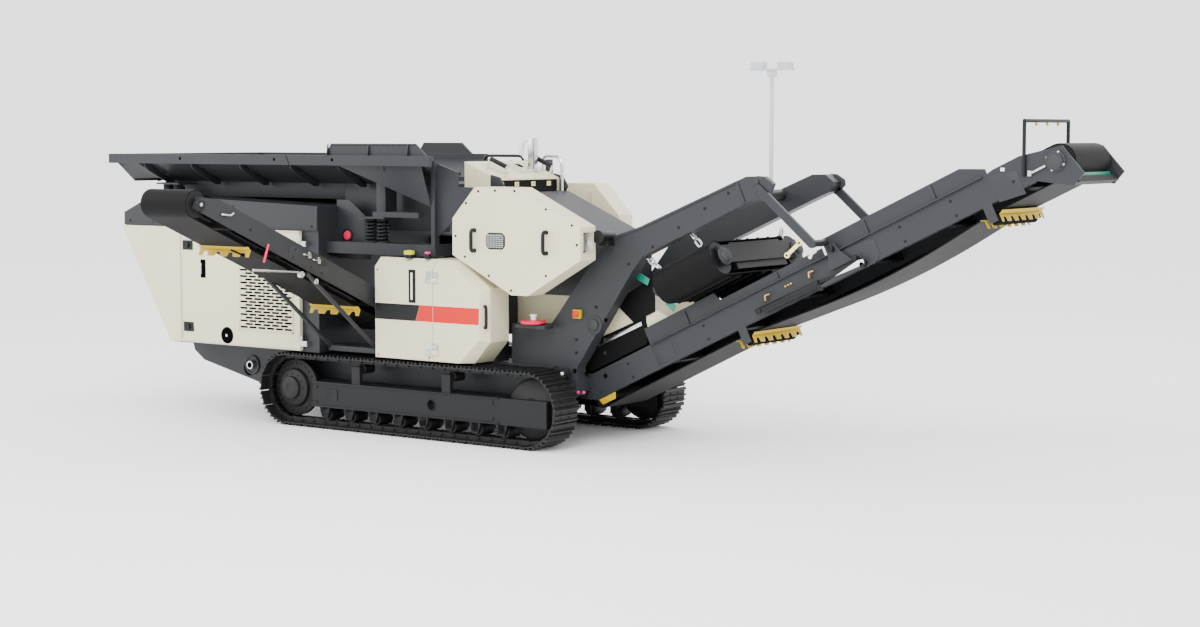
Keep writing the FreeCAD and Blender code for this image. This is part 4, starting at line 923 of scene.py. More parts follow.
@dataclass
class EngineHousing(SubAssembly):
    """Latches, grille, recesses, seams and bolts of the engine housing and its door."""

    face: float = -1.256           # Y of the door's front
    grille_at: Row = (-4.155, 1.080, 0.0)
    grille_size: tuple[float, float] = (0.825, 0.790)
    hinges: tuple[float, ...] = (0.990, 1.560, 2.130)     # heights

    def latch(self, x: float, z: float) -> list[bpy.types.Object]:
        """A square rotary latch with its round pull."""
        y = self.face
        plate = box(at(x - 0.082, y - 0.010, z - 0.056), at(x + 0.082, y, z + 0.056), 0.010)
        pull = turned([(0.0, 0.034), (0.012, 0.034), (0.016, 0.028), (0.010, 0.020), (0.010, 0.0)],
            at(x - 0.01, y - 0.010, z), FRONT, 20)
        return [plate, pull]

    def door_pieces(self) -> None:
        """Everything that swings with the door."""
        y, door = self.face, "engine_door"
        self.keep("door_latches", self.latch(-5.016, 2.032) + self.latch(-5.018, 1.060), GRIP_PLASTIC, 0.003,
            body=door)
        dish = turned([(0.0, 0.0), (0.001, 0.072), (0.006, 0.080), (0.008, 0.090), (0.004, 0.098),
            (0.0, 0.100)], at(-4.382, y, 0.989), FRONT, 28)
        pull = box(at(-4.806, y - 0.006, 1.652), at(-4.724, y, 1.868), 0.016)
        self.keep("door_recesses", [dish, pull], SHADOW_BLACK, 0.002, body=door)
        bar = bent([at(-4.790, y - 0.004, 1.70), at(-4.790, y - 0.014, 1.71), at(-4.790, y - 0.014, 1.81),
            at(-4.790, y - 0.004, 1.82)], 0.006, 0.008)
        hub = turned([(0.0, 0.018), (0.012, 0.016), (0.012, 0.0)], at(-4.382, y - 0.002, 0.989), FRONT, 12)
        self.keep("door_pull", [bar, hub], ZINC_PLATE, body=door)
        width, height = self.grille_size
        grille = slotted(at(self.grille_at[0], y - 0.009, self.grille_at[1]), Vector((width, 0, 0)),
            Vector((0, 0, height)), 41, 21, 6, 3, 0.008, 0.0008)
        self.keep("door_grille", [grille], CREAM_ENAMEL, floor=SHADOW_BLACK, body=door)
        x0, x1, z0, z1 = -5.140, -3.215, 0.875, 2.244
        folds = [box(at(x0 + 0.012, y - 0.004, z), at(x1 - 0.012, y, z + 0.016)) for z in (z0 + 0.006,
            z1 - 0.022)]
        x = x0 + 0.008
        folds.append(box(at(x, y - 0.004, z0 + 0.03), at(x + 0.016, y, z1 - 0.03)))
        rim = self.grille_at[0] - 0.02
        folds += [box(at(rim, y - 0.010, 1.060), at(rim + 0.018, y, 1.890)), box(at(rim + 0.847, y - 0.010,
            1.060), at(rim + 0.865, y, 1.890)), box(at(rim, y - 0.010, 1.060), at(rim + 0.865, y, 1.078)),
            box(at(rim, y - 0.010, 1.872), at(rim + 0.865, y, 1.890))]
        self.keep("door_folds", folds, CREAM_ENAMEL, 0.0015, body=door)
        leaf = [at(-3.225 - 0.030, y - 0.004, z + 0.030) for z in self.hinges]
        self.keep("door_hinge_screws", [bolts(leaf, FRONT, 0.018)], ZINC_PLATE, body=door)
        leaves = [hinge_leaf(-3.205, y - 0.0045, z, -1, 0.075) for z in self.hinges]
        self.keep("door_hinge_plates", leaves, CAST_ALUMINIUM, 0.0015, body=door)

    def fixed_pieces(self) -> None:
        """Everything that stays on the housing."""
        y = self.face
        plates = [hinge_leaf(-3.185, y - 0.0045, z, 1, 0.075, -1) for z in self.hinges]
        self.keep("hinge_plates", plates, CAST_ALUMINIUM, 0.0015)
        heads = [at(x, -1.220, z) for x, z in ((-6.05, 2.30), (-5.40, 2.30), (-4.60, 2.30), (-3.80, 2.30),
            (-3.05, 2.30), (-5.55, 2.52), (-4.30, 2.50))]
        side_bolts = bolts(heads, FRONT, 0.020)
        far = bolts(HERE.mirrored(heads), BACK, 0.020)
        self.keep("housing_bolts", [side_bolts, far], BLACK_ENAMEL)
        band = []
        for side in (-1, 1):
            low, high = sorted((side * 1.220, side * 1.226))
            band.append(box(at(-6.148, low, 2.250), at(-2.962, high, 2.272)))
            band.append(box(at(-2.985, low, 2.275), at(-2.962, high, 2.500)))
            band.append(box(at(-5.660, low, 2.275), at(-5.645, high, 2.590)))
        band.append(box(at(-3.262, -1.206, 0.862), at(-3.240, -1.2, 2.248)))
        band.append(box(at(-2.985, -1.206, 0.862), at(-2.962, -1.2, 2.248)))
        self.keep("cover_folds", band, DARK_ENAMEL, 0.002)
        far_grille = slotted(at(-3.40, 1.262, 1.10), Vector((-1.60, 0, 0)), Vector((0, 0, 0.90)), 65, 26, 4,
            2, 0.008, 0.0025)
        self.keep("far_grille", [far_grille], CREAM_ENAMEL, floor=SHADOW_BLACK)
        rear = []
        for i in range(9):
            z = 1.05 + i * 0.115
            x = -5.330 - (z - 0.86) * 0.590
            rear.append(drawn([at(x - 0.004, -0.85, z), at(x - 0.045, -0.85, z + 0.02), at(x - 0.050, -0.85,
                z + 0.07)], Vector((0, 1.70, 0))))
        self.keep("rear_louvres", rear, DARK_ENAMEL, 0.002)
        stack = turned([(0.0, 0.070), (0.30, 0.070), (0.31, 0.085), (0.34, 0.085), (0.34, 0.060),
            (0.02, 0.055)], at(-3.25, 0.0, 2.53), UP, 28)
        self.keep("air_intake", [stack], GRIP_PLASTIC, 0.003)

    def build(self) -> None:
        """Builds the housing's fittings."""
        self.door_pieces()
        self.fixed_pieces()


@dataclass
class Cabinet(SubAssembly):
    """Control cabinet: stripes, level gauge, hinges, handle, filler, valve knob and screws."""

    face: float = -1.220
    stripe_low: float = 1.300
    stripe_high: float = 1.478
    film: float = 0.0015           # thickness of a stripe
    hinges: tuple[float, ...] = (1.000, 1.790)     # heights

    def stripes(self) -> None:
        """Plain colour bands over the cabinet and its door."""
        y, z0, z1 = self.face, self.stripe_low, self.stripe_high
        dark = panel(y, ((-2.098, z0), (-1.515, z0), (-1.455, z1), (-2.098, z1)), -self.film)
        self.keep("stripe_dark", [dark], BLACK_ENAMEL)
        red = panel(y, ((-1.512, z0), (-1.272, z0), (-1.272, z1), (-1.452, z1)), -self.film)
        self.keep("stripe_red", [red], RED_ENAMEL)
        red = panel(y, ((-1.262, z0), (-0.626, z0), (-0.620, z1), (-1.262, z1)), -self.film)
        self.keep("door_stripe_red", [red], RED_ENAMEL, body="cabinet_door")

    def gauge_and_handle(self) -> None:
        """The level gauge and the door's grip."""
        y = self.face
        frame = box(at(-1.604, y - 0.010, 1.500), at(-1.510, y, 1.864), 0.014)
        self.keep("gauge_frame", [frame], GRIP_PLASTIC, 0.003)
        tube = rod(at(-1.557, y - 0.012, 1.535), at(-1.557, y - 0.012, 1.830), 0.011)
        self.keep("gauge_tube", [tube], WHITE_PLASTIC)
        way = Vector((0.80, -0.60, 0.0))
        foot = at(-0.583, -1.170, 0)
        legs = [foot + way * reach + Vector((0, 0, z)) for z, reach in ((1.272, 0.0), (1.272, 0.058),
            (1.502, 0.058), (1.502, 0.0))]
        pads = [turned([(0.0, 0.018), (0.006, 0.018), (0.008, 0.0)], foot + Vector((0, 0, z)), way, 12)
            for z in (1.275, 1.5)]
        self.keep("cabinet_handle", [bent(legs, 0.018, 0.045), *pads], GRIP_PLASTIC, body="cabinet_door")

    def hinge_leaves(self) -> None:
        """Cast hinge leaves on the door and on the post."""
        y = self.face
        leaf_door = [hinge_leaf(-1.272, y - 0.018, z, 1, 0.080) for z in self.hinges]
        leaf_post = [hinge_leaf(-1.272, y - 0.018, z, -1, 0.080, -1) for z in self.hinges]
        self.keep("cabinet_hinge_door", leaf_door, CAST_ALUMINIUM, 0.0015, body="cabinet_door")
        self.keep("cabinet_hinge_post", leaf_post, CAST_ALUMINIUM, 0.0015)

    def fillers(self) -> None:
        """The filler with its cap, the valve knob and the screws."""
        y = self.face
        neck = turned([(0.0, 0.0), (0.0, 0.045), (0.035, 0.045), (0.040, 0.030), (0.040, 0.0)],
            at(-1.665, -1.14, 1.982), UP, 20)
        self.keep("filler_neck", [neck], BLACK_ENAMEL, 0.001)
        cap = turned([(0.0, 0.0), (0.0, 0.058), (0.030, 0.064), (0.046, 0.052), (0.052, 0.0)],
            at(-1.665, -1.14, 2.022), UP, 12)
        self.keep("filler_cap", [cap], LIME_PLASTIC, 0.001)
        base = turned([(0.0, 0.0), (0.0, 0.036), (0.05, 0.032), (0.05, 0.0)], at(-1.401, -1.14, 1.982), UP,
            16)
        knob = turned([(0.0, 0.022), (0.01, 0.034), (0.025, 0.034), (0.032, 0.024), (0.032, 0.0)],
            at(-1.401, -1.14, 2.032), UP, 16)
        self.keep("valve_base", [base], GRIP_PLASTIC, 0.001)
        self.keep("valve_knob", [knob], MAGENTA_PLASTIC, 0.001)
        heads = [at(x, y, z) for x, z in ((-2.06, 0.905), (-1.32, 0.905), (-2.06, 1.845), (-1.32, 1.845))]
        self.keep("cabinet_screws", [bolts(heads, FRONT, 0.014)], BLACK_ENAMEL)

    def build(self) -> None:
        """Builds the cabinet's fittings on the cabinet and on its door."""
        self.stripes()
        self.gauge_and_handle()
        self.hinge_leaves()
        self.fillers()


@dataclass
class Guards(SubAssembly):
    """Flywheel guards: handles, mesh window, end cover, ribs, screws and the belt's tension motor."""

    face: float = -1.200

    def handles(self) -> None:
        """Grips on the near guard."""
        y = self.face
        grips, feet = [], []
        for x in (-0.692, 0.271):
            grips.append(bent([at(x, y - reach, z) for z, reach in ((2.096, 0.0), (2.096, 0.066),
                (2.322, 0.066), (2.322, 0.0))], 0.020, 0.050))
            for z in (2.100, 2.318):
                feet.append(turned([(0.0, 0.024), (0.007, 0.024), (0.010, 0.0)], at(x, y, z), FRONT, 16))
        self.keep("guard_handles", grips + feet, GRIP_PLASTIC)

    def window(self) -> None:
        """The inspection window: a near-black plate behind the wires, painted shade for the dark inside of
        the guard, and the wire mesh.
        """
        y = self.face
        cx, cz, w, h, c = -0.408, 2.209, 0.128, 0.088, 0.035
        octagon = [(-w, -h + c), (-w + c, -h), (w - c, -h), (w, -h + c), (w, h - c), (w - c, h), (-w + c, h),
            (-w, h - c)]
        # The filled octagon is painted shade: a near-black plate for the dark inside seen through the mesh.
        rim = drawn([at(cx + px, y, cz + pz) for px, pz in octagon], Vector((0, -0.006, 0)))
        self.keep("window_shade_plate", [rim], SHADOW_BLACK, 0.002)
        wires = []
        for i in range(-5, 6):
            u, reach = i * 0.021, h - 0.012 - max(0.0, abs(i * 0.021) - (w - c))
            wires.append(rod(at(cx + u, y - 0.0085, cz - reach), at(cx + u, y - 0.0085, cz + reach), 0.0034,
                6))
        for i in range(-3, 4):
            u, reach = i * 0.021, w - 0.012 - max(0.0, abs(i * 0.021) - (h - c))
            wires.append(rod(at(cx - reach, y - 0.0125, cz + u), at(cx + reach, y - 0.0125, cz + u), 0.0034,
                6))
        self.keep("window_mesh", wires, CAST_ALUMINIUM)

    def covers_and_screws(self) -> None:
        """The end cover, and the screws of both guards."""
        y = self.face
        cover = box(at(0.710, -1.165, 2.110), at(0.718, -0.975, 2.335), 0.012)
        self.keep("guard_end_cover", [cover], CREAM_ENAMEL, 0.002)
        near = [(-0.412, 2.745), (-0.640, 2.735), (-0.150, 2.745), (-0.810, 2.607), (0.265, 2.560),
            (0.263, 1.863), (-0.827, 2.030), (-0.955, 2.250), (-0.20, 1.690), (0.665, 2.20), (-0.50, 1.835),
            (0.60, 2.40)]
        near_heads = bolts([at(x, y, z) for x, z in near], FRONT, 0.019)
        far = [(-1.20, 2.70), (-0.70, 2.73), (-0.36, 2.40), (-0.36, 2.08), (-1.20, 2.10), (-0.65, 1.69)]
        far_heads = bolts([at(x, -y, z) for x, z in far], BACK, 0.019)
        end_heads = bolts([at(0.718, -1.15, z) for z in (2.13, 2.315)], AHEAD, 0.016)
        self.keep("guard_screws", [near_heads, far_heads, end_heads], BLACK_ENAMEL)

    def ribs_and_motor(self) -> None:
        """Ribs inside the far guard, and the belt's tension motor."""
        inner = [box(at(x, 0.918, z0), at(x + 0.06, 0.930, z1), 0.01) for x, z0, z1 in ((-0.72, 1.75, 2.70),
            (-0.42, 2.10, 2.45), (-1.15, 1.95, 2.70))]
        self.keep("far_guard_ribs", inner, CREAM_ENAMEL, 0.002)
        motor = rod(at(0.760, -0.94, 2.275), at(0.760, -0.70, 2.275), 0.055, 24)
        flange = turned([(0.0, 0.0), (0.0, 0.072), (0.012, 0.072), (0.012, 0.0)], at(0.760, -0.96, 2.275),
            BACK, 20)
        stand = box(at(0.700, -0.86, 2.18), at(0.820, -0.742, 2.235), 0.01)
        self.keep("tension_motor", [motor, flange, stand], BLACK_ENAMEL, 0.003)

    def build(self) -> None:
        """Builds both guards' fittings."""
        self.handles()
        self.window()
        self.covers_and_screws()
        self.ribs_and_motor()


@dataclass
class Hood(SubAssembly):
    """Crusher hood: grips, hole, vents, rails, sensor post and arm, rubber curtain and its clips."""

    foot: tuple[float, float] = (-0.870, 2.850)
    crest: tuple[float, float] = (-1.345, 3.040)

    def on_top(self, x: float, y: float, lift: float = 0.0) -> Vector:
        """A point on the hood's sloping top."""
        share = (x - self.foot[0]) / (self.crest[0] - self.foot[0])
        return at(x, y, self.foot[1] + share * (self.crest[1] - self.foot[1]) + lift)

    def grips_and_vents(self) -> None:
        """Grips, port and vents on the sloping top."""
        up = Vector((0.19, 0, 0.475)).normalized()
        for word, y in (("near", -0.405), ("far", 0.430)):
            legs = [self.on_top(x, y) + up * reach for x, reach in ((-1.150, 0.0), (-1.150, 0.120),
                (-0.915, 0.120), (-0.915, 0.0))]
            self.keep(f"hood_grip_legs_{word}", [bent(legs, 0.014, 0.02)], CREAM_ENAMEL)
            grip = rod(self.on_top(-1.140, y) + up * 0.120, self.on_top(-0.925, y) + up * 0.120, 0.027, 20)
            self.keep(f"hood_grip_{word}", [grip], GRIP_PLASTIC, 0.004)
        disc = turned([(0.0, 0.050), (0.004, 0.050), (0.004, 0.042), (0.001, 0.040), (0.001, 0.0)],
            self.on_top(-1.21, 0.249), up, 24)
        self.keep("hood_port", [disc], SHADOW_BLACK)
        along = (self.on_top(-0.96, 0) - self.on_top(-1.28, 0))
        for word, y in (("near", -0.34), ("middle", 0.02), ("far", 0.30)):
            patch = slotted(self.on_top(-1.28, y) + up * 0.003, along * (0.45 if word == "far" else 0.8),
                Vector((0, 0.20, 0)), 25, 6, 1, 1, 0.0025, 0.0015)
            self.keep(f"hood_vents_{word}", [patch], CREAM_ENAMEL, floor=SHADOW_BLACK)

    def rails_and_sensor(self) -> None:
        """Hand rails, and the sensor on its post."""
        rail = bent([at(x, 0.52, z) for x, z in ((-1.069, 2.935), (-1.069, 3.095), (-0.850, 3.095),
            (-0.800, 3.017), (-0.800, 2.700))], 0.018, 0.06)
        self.keep("hood_rail", [rail], ZINC_PLATE)
        low_rail = bent([at(x, 0.56, z) for x, z in ((-1.385, 2.70), (-1.385, 3.094), (-1.96, 3.094),
            (-1.96, 2.80))], 0.016, 0.08)
        self.keep("feeder_rail", [low_rail], BLACK_ENAMEL)
        web = 0.008
        post = [box(at(-1.120, 0.300, 2.93), at(-1.120 + web, 0.372, 3.300)), box(at(-1.120, 0.300, 2.93),
            at(-1.035, 0.300 + web, 3.300)), box(at(-1.043, 0.300, 2.93), at(-1.035, 0.372, 3.300)),
            box(at(-1.135, 0.292, 2.92), at(-1.020, 0.380, 2.945))]
        self.keep("sensor_post", post, ZINC_PLATE, 0.0015)
        arm = [bent([at(-1.125, 0.34, 3.275), at(-1.225, 0.34, 3.265), at(-1.240, 0.34, 3.11),
            at(-1.165, 0.34, 3.045)], 0.014, 0.05), box(at(-1.262, 0.310, 3.115), at(-1.215, 0.370, 3.250),
            0.006)]
        self.keep("sensor_arm", arm, WHITE_PLASTIC, 0.003)

    def curtain_and_ears(self) -> None:
        """The rubber curtain with its clips, and the hinge ears."""
        curtain = box(at(-0.870, -0.555, 2.700), at(-0.858, 0.500, 2.835), 0.01)
        self.keep("hood_curtain", [curtain], SHEET_RUBBER, 0.002)
        clips = [box(at(-0.858, y - 0.035, 2.765), at(-0.850, y + 0.035, 2.815), 0.006)
            for y in (-0.52, -0.25, 0.05, 0.34)]
        clip_heads = bolts([at(-0.850, y, 2.790) for y in (-0.52, -0.25, 0.05, 0.34)], AHEAD, 0.010)
        self.keep("curtain_clips", clips, CREAM_PLASTIC, 0.002, slot=Slot.YELLOW)
        self.keep("curtain_clip_screws", [clip_heads], BLACK_ENAMEL)
        ears = []
        for y in (-0.590, 0.566):
            ears.append(panel(y, ((-0.960, 2.90), (-0.83, 2.87), (-0.76, 2.76), (-0.79, 2.70), (-0.87, 2.69),
                (-0.960, 2.72)), 0.024))
            ears.append(rod(at(-0.800, y - 0.012, 2.745), at(-0.800, y + 0.036, 2.745), 0.026, 16))
        self.keep("hood_hinge_ears", ears, DARK_ENAMEL, 0.003)

    def build(self) -> None:
        """Builds the hood's fittings."""
        self.grips_and_vents()
        self.rails_and_sensor()
        self.curtain_and_ears()


@dataclass
class Hopper(SubAssembly):
    """Hopper: ribs, seams, folds, springs, liners and the feeder's bars."""

    springs_at: tuple[tuple[float, float, float, int], ...] = (
        (-5.560, 2.640, 2.740, 3), (-2.300, 2.130, 2.400, 6))     # along, foot, top and turns
    holes_at: tuple[float, ...] = (-5.071, -3.537, -2.644)
    bar_count: int = 9
    bar_pitch: float = 0.15

    def spring(self, x: float, y: float, low: float, high: float, turns: int) -> bpy.types.Object:
        """One coil spring standing between two seats."""
        steps = turns * 14
        height = high - low - 0.028
        points = [at(x + 0.060 * math.cos(a), y + 0.060 * math.sin(a), low + 0.014 + height * i / steps)
            for i, a in ((i, math.tau * turns * i / steps) for i in range(steps + 1))]
        return bent(points, 0.013, 0.001)

    def feeder_springs(self) -> None:
        """Coil springs under the feeder, with their seats."""
        coils, seats = [], []
        for side in (-1, 1):
            for base, low, high, turns in self.springs_at:
                for offset in (-0.085, 0.085):
                    x, y = base + offset, side * 0.950
                    coils.append(self.spring(x, y, low, high, turns))
                    for z, way in ((low, 1), (high, -1)):
                        seats.append(turned([(0.0, 0.0), (0.0, 0.072), (0.010, 0.072), (0.012, 0.045),
                            (0.02, 0.040), (0.02, 0.0)], at(x, y, z), Vector((0, 0, way)), 20))
                if base < -5:
                    seats.append(box(at(base - 0.17, side * 0.95 - 0.08, 2.600), at(base + 0.17, side * 0.95
                        + 0.08, 2.640), 0.01))
        self.keep("springs", coils, BLACK_ENAMEL, stands_for=["feeder_springs"])
        self.keep("spring_seats", seats, DARK_ENAMEL, 0.002)

    def wall_ribs(self) -> None:
        """Ribs under the walls and behind the raised boards."""
        ribs = []
        for side in (-1, 1):
            for x in (-5.75, -4.95, -4.15, -3.35, -2.62, -1.95):
                if side > 0 and x > -2.5:
                    continue
                profile = [(0.775, 2.784), (1.250, 3.018), (1.250, 2.955), (1.180, 2.900), (0.86, 2.745),
                    (0.775, 2.745)]
                start = [at(x, side * py, pz) for py, pz in profile]
                ribs.append(drawn(start, Vector((0.014, 0, 0))))
        for x in (-0.80, 0.0, 0.80):
            profile = [(-5.93, 2.784), (-6.248, 3.018), (-6.248, 2.95), (-6.0, 2.765)]
            ribs.append(drawn([at(px, x, pz) for px, pz in profile], Vector((0, 0.014, 0))))
        for x in (-2.757, -2.152, -1.579):
            ribs.append(drawn([at(x, -1.250, 3.1075), at(x, -1.285, 3.1075), at(x, -1.262, 3.235),
                at(x, -1.250, 3.238)], Vector((0.012, 0, 0))))
        for x in (-3.38, -2.93):
            ribs.append(drawn([at(x, 1.250, 3.1075), at(x, 1.285, 3.1075), at(x, 1.262, 3.235),
                at(x, 1.250, 3.238)], Vector((0.012, 0, 0))))
        ribs.append(box(at(-2.710, -1.262, 3.222), at(-1.480, -1.250, 3.240)))
        self.keep("hopper_ribs", ribs, DARK_ENAMEL, 0.002)

    def folds_and_holes(self) -> None:
        """The folded front corner, the rim's seam and its holes."""
        fold = drawn([at(x, y, z) for x, y, z in ((-2.62, -1.245, 2.994), (-1.402, -1.245, 2.994),
            (-1.402, -1.085, 2.550))], Vector((0, 0.012, 0)))
        brace = box(at(-2.210, -1.060, 2.480), at(-2.080, -1.048, 2.920))
        web = box(at(-2.150, -1.048, 2.480), at(-2.138, -0.800, 2.800))
        self.keep("front_fold", [fold, brace, web], DARK_ENAMEL, 0.002)
        seam = panel(-1.3105, ((-3.362, 3.105), (-3.352, 3.105), (-3.292, 2.998), (-3.302, 2.998)), -0.001)
        holes = [disc(0.019, 0.001, at(x, -1.310, 3.057), FRONT, 16) for x in self.holes_at]
        holes += [disc(0.019, 0.0002, at(x, 1.310, 3.057), BACK, 16) for x in self.holes_at]
        self.keep("rim_holes", [seam, *holes], SHADOW_BLACK)

    def feeder_floor(self) -> None:
        """Grizzly bars, liner plates and their bolts."""
        bars = []
        for i in range(self.bar_count):
            y = -0.60 + i * self.bar_pitch
            bars.append(drawn([at(-2.75, y - 0.03, 2.700), at(-2.75, y + 0.03, 2.700), at(-2.75, y + 0.045,
                2.790), at(-2.75, y - 0.045, 2.790)], Vector((1.30, 0, 0))))
        self.keep("grizzly_bars", bars, GREY_CASTING, 0.006)
        liners = []
        for i in range(4):
            x0 = -5.80 + i * 0.76
            liners.append(box(at(x0, -0.66, 2.690), at(x0 + 0.745, 0.66, 2.700), 0.012))
        self.keep("pan_liners", liners, GREY_CASTING, 0.003)
        heads = []
        for side in (-1, 1):
            way = Vector((0, -side * 0.27, 0.49)).normalized()
            spots = [at(x, side * (0.76 + 0.49 * f) - side * 0.012, 2.800 + 0.27 * f + 0.010)
                for f in (0.25, 0.75) for x in (-5.6, -5.0, -4.4, -3.8, -3.2, -2.6, -2.0)]
            heads.append(bolts(spots, way, 0.032))
        self.keep("liner_bolts", heads, GREY_CASTING)

    def skirts_and_marker(self) -> None:
        """Sheets round the feeder, and the round marker."""
        skirts = []
        for side in (-1, 1):
            low, high = sorted((side * 0.735, side * 0.747))
            skirts.append(box(at(-5.930, low, 2.600), at(-2.960, high, 2.785)))
            skirts.append(box(at(-2.960, low, 2.260), at(-1.420, high, 2.785)))
        apron = [(-2.955, 1.930), (-2.955, 2.600), (-2.760, 2.600), (-2.520, 2.420), (-2.440, 2.180),
            (-2.440, 1.930)]
        skirts.append(panel(-0.900, apron, 0.012))
        self.keep("feeder_skirts", skirts, DARK_ENAMEL, 0.002)
        marker = turned([(0.0, 0.075), (0.010, 0.078), (0.014, 0.062), (0.002, 0.058), (0.002, 0.0)],
            at(-2.790, -0.900, 2.195), FRONT, 24)
        self.keep("marker_ring", [marker], GRIP_PLASTIC)
        dot = turned([(0.0, 0.056), (0.012, 0.052), (0.018, 0.0)], at(-2.790, -0.903, 2.195), FRONT, 20)
        self.keep("marker_dot", [dot], PINK_ENAMEL)

    def build(self) -> None:
        """Builds the hopper's details."""
        self.feeder_springs()
        self.wall_ribs()
        self.folds_and_holes()
        self.feeder_floor()
        self.skirts_and_marker()


@dataclass
class Chassis(SubAssembly):
    """Chassis front: shelf with its drive disc, stop button, coupling plate, holes, grease points, bolts and
    tow point.
    """

    leg_face: float = -0.742
    plate_face: float = -0.800

    def drive(self) -> None:
        """The drive disc on its shelf, and the stop button."""
        shelf = box(at(-0.340, -0.960, 1.270), at(0.060, -0.800, 1.310), 0.008)
        self.keep("drive_shelf", [shelf], DARK_ENAMEL, 0.003)
        disc = turned([(0.0, 0.050), (0.004, 0.128), (0.018, 0.140), (0.030, 0.140), (0.044, 0.128),
            (0.050, 0.060), (0.052, 0.045), (0.052, 0.0)], at(-0.132, -0.900, 1.312), UP, 36)
        self.keep("drive_disc", [disc], PINK_ENAMEL, 0.001)
        knob = turned([(0.0, 0.030), (0.030, 0.028), (0.040, 0.040), (0.056, 0.038), (0.062, 0.0)],
            at(-0.132, -0.900, 1.362), UP, 20)
        self.keep("drive_knob", [knob], WHITE_PLASTIC, 0.001)
        seat = box(at(0.305, self.leg_face - 0.045, 1.390), at(0.403, self.leg_face, 1.485), 0.010)
        self.keep("stop_box", [seat], YELLOW_ENAMEL, 0.004)
        button = turned([(0.0, 0.020), (0.012, 0.020), (0.014, 0.034), (0.026, 0.036), (0.034, 0.026),
            (0.036, 0.0)], at(0.354, self.leg_face - 0.045, 1.437), FRONT, 20)
        self.keep("stop_button", [button], RED_ENAMEL)

    def leg_fittings(self) -> None:
        """Holes and grease points of the front legs."""
        holes = []
        for x, z, r in ((0.709, 1.390, 0.024), (0.303, 0.823, 0.026), (0.448, 0.806, 0.020), (0.703, 0.796,
                0.026)):
            holes.append(disc(r, 0.0015, at(x, self.leg_face, z), FRONT, 16))
            holes.append(disc(r, 0.0015, at(x, -self.leg_face, z), BACK, 16))
        self.keep("leg_holes", holes, SHADOW_BLACK)
        knobs = []
        for x, z in ((0.356, 0.600), (0.430, 0.604)):
            knobs.append(turned([(0.0, 0.014), (0.016, 0.018), (0.026, 0.014), (0.026, 0.0)],
                at(x, self.leg_face, z), FRONT, 12))
        self.keep("grease_knobs", knobs, MAGENTA_PLASTIC)

    def couplings(self) -> None:
        """The hydraulic coupling plate."""
        bezel = box(at(-0.215, self.plate_face - 0.006, 0.740), at(0.270, self.plate_face, 0.850), 0.018)
        self.keep("coupling_plate", [bezel], BLACK_ENAMEL, 0.002)
        tips, collars = [], []
        for i in range(4):
            x = -0.140 + i * 0.112
            collars.append(disc(0.026, 0.014, at(x, self.plate_face - 0.006, 0.795), FRONT, 12))
            tips.append(turned([(0.0, 0.018), (0.020, 0.018), (0.028, 0.010), (0.028, 0.0)],
                at(x, self.plate_face - 0.020, 0.795), FRONT, 12))
        self.keep("coupling_collars", collars, GREY_CASTING)
        self.keep("coupling_tips", tips, WHITE_PLASTIC)

    def bolts_and_tow_point(self) -> None:
        """Leg bolts, and the tow point at the rear."""
        heads = [at(x, self.leg_face, z) for x, z in ((0.32, 1.02), (0.32, 1.16), (0.70, 1.04), (0.70, 1.18),
            (0.52, 0.62), (0.66, 0.62), (0.58, 1.52))]
        far = HERE.mirrored(heads)
        self.keep("leg_bolts", [bolts(heads, FRONT, 0.026), bolts(far, BACK, 0.026)], BLACK_ENAMEL)
        ring = turned([(0.0, 0.0), (0.0, 0.115), (0.02, 0.115), (0.02, 0.095), (0.004, 0.090), (0.004, 0.0)],
            at(-4.423, self.plate_face, 0.600), FRONT, 24)
        self.keep("tow_ring", [ring], DARK_ENAMEL, 0.002)
        tube = turned([(0.004, 0.0), (0.004, 0.050), (0.055, 0.050), (0.055, 0.036), (0.006, 0.034)],
            at(-4.423, self.plate_face, 0.600), FRONT, 20)
        self.keep("tow_tube", [tube], ZINC_PLATE)

    def build(self) -> None:
        """Builds the chassis fittings."""
        self.drive()
        self.leg_fittings()
        self.couplings()
        self.bolts_and_tow_point()


